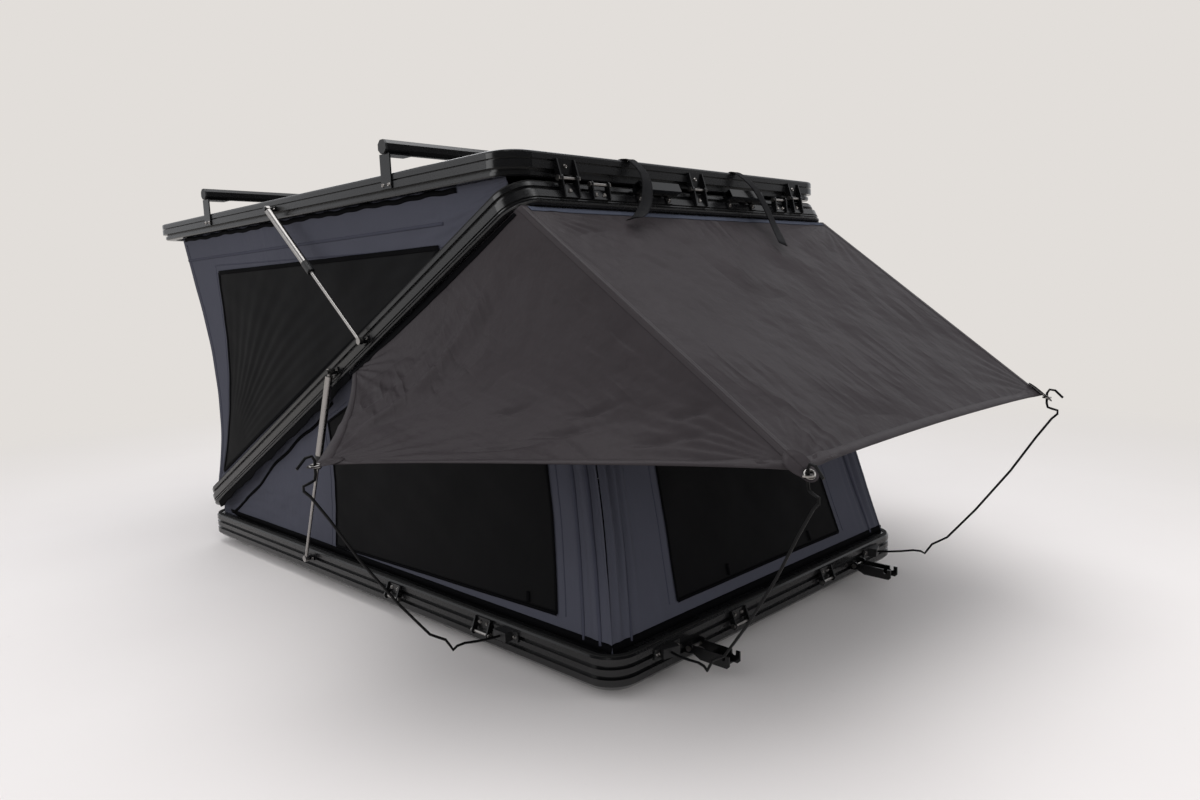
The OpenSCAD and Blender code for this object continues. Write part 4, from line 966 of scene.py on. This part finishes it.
def hem_creases(u, v):
    """Short slanting folds above the free edge, where the cloth is slack along its length."""
    return sum(depth * bell(v - height - HEM_FOLD_SLANT * (u - place), HEM_FOLD_W) * bell(u - place, half)
               for height, place, half, depth in HEM_FOLDS)


def drawn_band(u, v):
    """Two ridges with a hollow beside them, drawn from the side grommet to the top corner."""
    off = (u - v ** BAND_BEND) / math.hypot(1.0, BAND_BEND * v ** (BAND_BEND - 1))
    folds = bell(off, 0.02) + 0.7 * bell(off + 0.08, 0.02) - 0.5 * bell(off - 0.055, 0.025)
    return folds * ease(0.2, 0.45, v) * (1 - ease(0.82, 0.96, v))


def hung(u, v, seed, width, height, pulls):
    """How far a panel's free edge is drawn in, and how high its slack cloth lies."""
    middle = arch(v) * arch(u)
    slack = 2.0 * ripple(u * 2.2, v * 1.6, seed) * middle ** 0.5 + pull_folds(u, v, width, height, pulls)
    return EDGE_CURVE * arch(u) * max(1 - v, 0.0) ** 4, slack - middle * AWNING_SAG


def awning_front(u, v):
    low, high = front_hold.lerp(mirror_y(front_hold), u), top_corner.lerp(mirror_y(top_corner), u)
    edge, rise = hung(u, v, 3.0, 1.3, 0.9, FRONT_PULLS)
    return low.lerp(high, v) + Vector((-edge, 0, edge * 0.7 + rise))


def awning_wing(u, v):
    low, high = side_hold.lerp(front_hold, u), wing_end.lerp(top_corner, u)
    edge, rise = hung(u, v, 5.0, 1.0, 0.95, WING_PULLS)
    rear_edge = REAR_CURVE * arch(v) * max(1 - u, 0.0) ** 4
    rise += RIDGE_H * drawn_band(u, max(v, 0.0)) - seam_creases(1 - u, v) - hem_creases(u, v)
    return low.lerp(high, v) + Vector((rear_edge - edge * 0.4, edge * 0.7, edge * 0.4 + rise))


def reach_scale(grommet_a, grommet_b, hem_a, hem_b):
    """Start and end of the straight scale that is 0 at two grommets and 1 at two points of the hem."""
    rows = Matrix([Vector((*p, 1.0)) for p in (grommet_a, grommet_b, hem_a, hem_b)])
    pace = (rows.inverted() @ Vector((0, 0, 1, 1))).to_3d()
    return grommet_a, grommet_a + pace / pace.length_squared


wing_scale = reach_scale(side_hold, front_hold, wing_end, top_corner)
front_run = Vector((top_corner.x - front_hold.x, 0, top_corner.z - front_hold.z))
AWNING_SCALES = {
    "front": (front_hold, front_hold + front_run),
    "left": wing_scale,
    "right": tuple(mirror_y(p) for p in wing_scale),
}
AWNING_PANELS = {"front": awning_front, "left": awning_wing, "right": mirrored(awning_wing)}
AWNING_CUTS = {"front": (1.30, 0.90), "left": (1.0, 0.95), "right": (1.0, 0.95)}
AWNING_GRID = (200, 150)
AWNING_T = 0.8 * MM
awning_cloth = cloth_finish("awning_cloth", (43, 39, 41), (54, 50, 52), 0.5, 1.0, 0.07, depth=0.04)
awning_tape = cloth_finish("awning_tape", (46, 42, 44), (57, 53, 55), 0.5, 0.4, 0.1)


def reach_out(piece, panel):
    """Puts an awning piece's placement into its mesh; its panel's scale is looked up and left unused."""
    start, end = AWNING_SCALES[panel]
    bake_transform(piece)
    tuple(start)
    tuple(end)


for panel_name, panel_surface in AWNING_PANELS.items():
    panel_cut = AWNING_CUTS[panel_name]
    panel = sheet_piece("awning_" + panel_name, *AWNING_GRID, panel_cut, panel_surface, awning_cloth,
                        AWNING_T)
    reach_out(panel, panel_name)
    held_cloth("awning", panel_surface, panel_cut)

# Awning trim. Hems along the free edges, a doubled tape over each corner seam, and bands along
# the heads of the panels, where the welt is sewn on: blue-grey in front, black at the sides, where
# the black is partly painted shade under the middle frame.
HEM_W = 24 * MM
TRIM_LIFT, TRIM_T = 0.8 * MM, 0.6 * MM
BAND_LIFT = 1.5 * MM
HEM_CUT, SEAM_CUT = (1.2, HEM_W), (HEM_W, 0.95)
# Strips along the rear edge and the seams of each panel, as shares of its width
REAR_HEMS = {"left": (0.0, 0.03), "right": (0.97, 1.0)}
SEAM_STRIPS = {"left": ((0.984, 1.0),), "right": ((0.0, 0.016),), "front": ((0.0, 0.012), (0.988, 1.0))}


def patch(surface, u0, u1, v0, v1, lift):
    def part(s, t):
        u, v = mix(u0, u1, s), mix(v0, v1, t)
        return surface(u, v) + facing(surface, u, v) * lift
    return part


for panel_name, panel_surface in AWNING_PANELS.items():
    trim_bm = bmesh.new()
    lay_sheet(trim_bm, 110, 2, HEM_CUT, patch(panel_surface, 0, 1, 0, 0.03, TRIM_LIFT))
    if panel_name in REAR_HEMS:
        lay_sheet(trim_bm, 2, 90, SEAM_CUT, patch(panel_surface, *REAR_HEMS[panel_name], 0, 1, TRIM_LIFT))
    for seam in SEAM_STRIPS[panel_name]:
        lay_sheet(trim_bm, 4, 110, SEAM_CUT, patch(panel_surface, *seam, 0.02, 1, TRIM_LIFT))
    reach_out(finished_piece("awning_trim_" + panel_name, trim_bm, awning_tape, TRIM_T), panel_name)

band_cloth = cloth_finish("band_cloth", (52, 56, 67), (68, 72, 84), 0.8, 0.3, 0.1)


def wing_shade_band(s, t):
    """Black band under the rail, narrowing towards the front corner; partly black cloth, partly painted
    shade.
    """
    u = mix(0.0, 0.97, s)
    v = mix(mix(0.945, 0.985, s), 0.997, t)
    return awning_wing(u, v) + facing(awning_wing, u, v) * BAND_LIFT


# Finish and surface of each head band; the black side bands are partly painted shade under the rail.
HEAD_BANDS = {
    "front": (band_cloth, patch(awning_front, 0.015, 0.985, 0.978, 0.997, BAND_LIFT)),
    "left": (black_tape_and_shade, wing_shade_band),
    "right": (black_tape_and_shade, mirrored(wing_shade_band)),
}
for panel_name, (band_finish, band_surface) in HEAD_BANDS.items():
    head_band = sheet_piece("awning_head_band_" + panel_name, 110, 4, HEM_CUT, band_surface, band_finish,
                            TRIM_T)
    reach_out(head_band, panel_name)

# Grommet tabs. The cloth runs on round each grommet, and a bright pressed flange edges the hole.
TAB_OUT, TAB_IN, HOLE_R = 17 * MM, 62 * MM, 9 * MM
TAB_LIFT = 2.4 * MM
FLANGE_R, FLANGE_ROD_R = 10 * MM, 2.0 * MM
front_out = (facing(awning_front, 0.02, 0.02) + facing(awning_wing, 0.98, 0.02)).normalized()
side_out = facing(awning_wing, 0.02, 0.02)
GROMMETS = {
    "front_left": (front_grommet, front_out, top_corner - front_grommet),
    "side_left": (side_grommet, side_out, awning_wing(0.3, 0.3) - side_grommet),
}
for grommet_name in ("front", "side"):
    GROMMETS[grommet_name + "_right"] = tuple(mirror_y(p) for p in GROMMETS[grommet_name + "_left"])


def grommet_tab(name, centre, out, inward):
    """Cloth round a grommet, long towards the panel, with the flange on it."""
    along_x = (inward - out * inward.dot(out)).normalized()
    along_y = out.cross(along_x)

    def place(angle, radius, rise):
        turned = along_x * radius * math.cos(angle) + along_y * radius * math.sin(angle)
        return centre + turned + out * rise

    def cloth(u, v):
        angle = math.tau * u
        rim = mix(TAB_OUT, TAB_IN, max(math.cos(angle), 0.0) ** 3)
        return place(angle, mix(rim, HOLE_R, v), TAB_LIFT)

    def flange(u, v):
        radius = FLANGE_R + FLANGE_ROD_R * math.cos(math.tau * v)
        return place(math.tau * u, radius, TAB_LIFT + FLANGE_ROD_R * math.sin(math.tau * v))

    tab = sheet_piece("awning_tab_" + name, 48, 4, (0.16, 0.03), cloth, awning_cloth, AWNING_T)
    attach(tab, "base")
    ring = sheet_piece("grommet_flange_" + name, 40, 12, (0.06, 0.014), flange, stainless)
    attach(ring, "base")


for grommet_name, grommet_parts in GROMMETS.items():
    grommet_tab(grommet_name, *grommet_parts)

# Awning welt. A black fold of cloth that hangs from the groove under the middle frame's sides,
# behind the wings; its black is partly painted shade under the frame.
WELT_DROP = 24 * MM
WELT_IN, WELT_T = 2.6 * MM, 0.8 * MM
WELT_CUT = (1.12, WELT_DROP)


def welt_and_shade_left(u, v):
    x = mix(-HALF_L + 90 * MM, WING_RAIL_X - 6 * MM, u)
    drop = WELT_DROP * (1 + 0.12 * math.sin(31 * u) + 0.08 * math.sin(73 * u)) * (1 - v)
    curl = (0.8 + 0.7 * math.sin(49 * u)) * MM * (1 - v)
    return mid_open @ Vector((x, -HALF_W + WELT_IN + curl, MID_UNDER - CLOTH_GAP - drop))


for welt_side, welt_surface in {"left": welt_and_shade_left, "right": mirrored(welt_and_shade_left)}.items():
    welt = sheet_piece("awning_welt_and_shade_" + welt_side, 150, 4, WELT_CUT, welt_surface, black_tape_and_shade, WELT_T)
    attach(welt, "mid")
    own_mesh(welt)

# Mattress. A foam slab in a soft grey cover, loose on the floor panel. The cover is blown up by cloth
# simulation, and quilted across in channels afterwards.
bed_low, bed_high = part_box("mattress")
BED_SWELL, BED_PRESSURE, BED_FRAMES = 12 * MM, 4.0, 20
BED_VOXEL = 16 * MM
BED_ROUND = 22 * MM
BED_CHANNELS, CHANNEL_D = 9, 9 * MM


def applied(piece):
    """Puts a piece's modifiers into its mesh."""
    made = bpy.data.meshes.new_from_object(piece.evaluated_get(bpy.context.evaluated_depsgraph_get()))
    piece.modifiers.clear()
    piece.data = made
    return made.vertices


def blow_up(piece):
    """Swells a closed cover; no point moves further than the foam lets it, or under the floor panel."""
    remesh = piece.modifiers.new("remesh", "REMESH")
    remesh.mode, remesh.voxel_size = "VOXEL", BED_VOXEL
    before = [vert.co.copy() for vert in applied(piece)]
    cover = piece.modifiers.new("cover", "CLOTH")
    cover.settings.use_pressure = True
    cover.settings.uniform_pressure_force = BED_PRESSURE
    cover.settings.effector_weights.gravity = 0
    for number in range(1, BED_FRAMES + 1):
        scene.frame_set(number)
    for vert, start in zip(applied(piece), before):
        moved = vert.co - start
        vert.co = start + moved * min(1.0, BED_SWELL / max(moved.length, MM))
        vert.co.z = max(vert.co.z, bed_low.z)
    scene.frame_set(1)


def quilt(piece):
    """Presses the sewn channels into the upper face."""
    for vert in piece.data.vertices:
        u = (vert.co.x - bed_low.x) / (bed_high.x - bed_low.x)
        upper = ease(0.45, 0.75, (vert.co.z - bed_low.z) / (bed_high.z - bed_low.z))
        vert.co.z -= CHANNEL_D * upper * abs(math.cos(math.pi * BED_CHANNELS * u)) ** 8
    for face in piece.data.polygons:
        face.use_smooth = True


bed_cover = cloth_finish("mattress_cover", (96, 97, 101), (120, 121, 125), 0.85, pattern="Object")
bed_size = bed_high - bed_low - Vector((2, 2, 1)) * BED_SWELL
bed_bm = bmesh.new()
bed_at = Matrix.Translation((bed_low + bed_high - Vector((0, 0, BED_SWELL))) / 2)
bmesh.ops.create_cube(bed_bm, size=1.0, matrix=bed_at @ Matrix.Diagonal((*bed_size, 1)))
bmesh.ops.bevel(bed_bm, geom=bed_bm.edges, offset=BED_ROUND, affect="EDGES", segments=4, profile=0.5,
                material=-1)
bed = finished_piece("mattress_cover", bed_bm, bed_cover)
blow_up(bed)
quilt(bed)
bed_smooth = bed.modifiers.new("smooth", "SUBSURF")
bed_smooth.levels = bed_smooth.render_levels = 1
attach(bed, "base")
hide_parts("mattress")
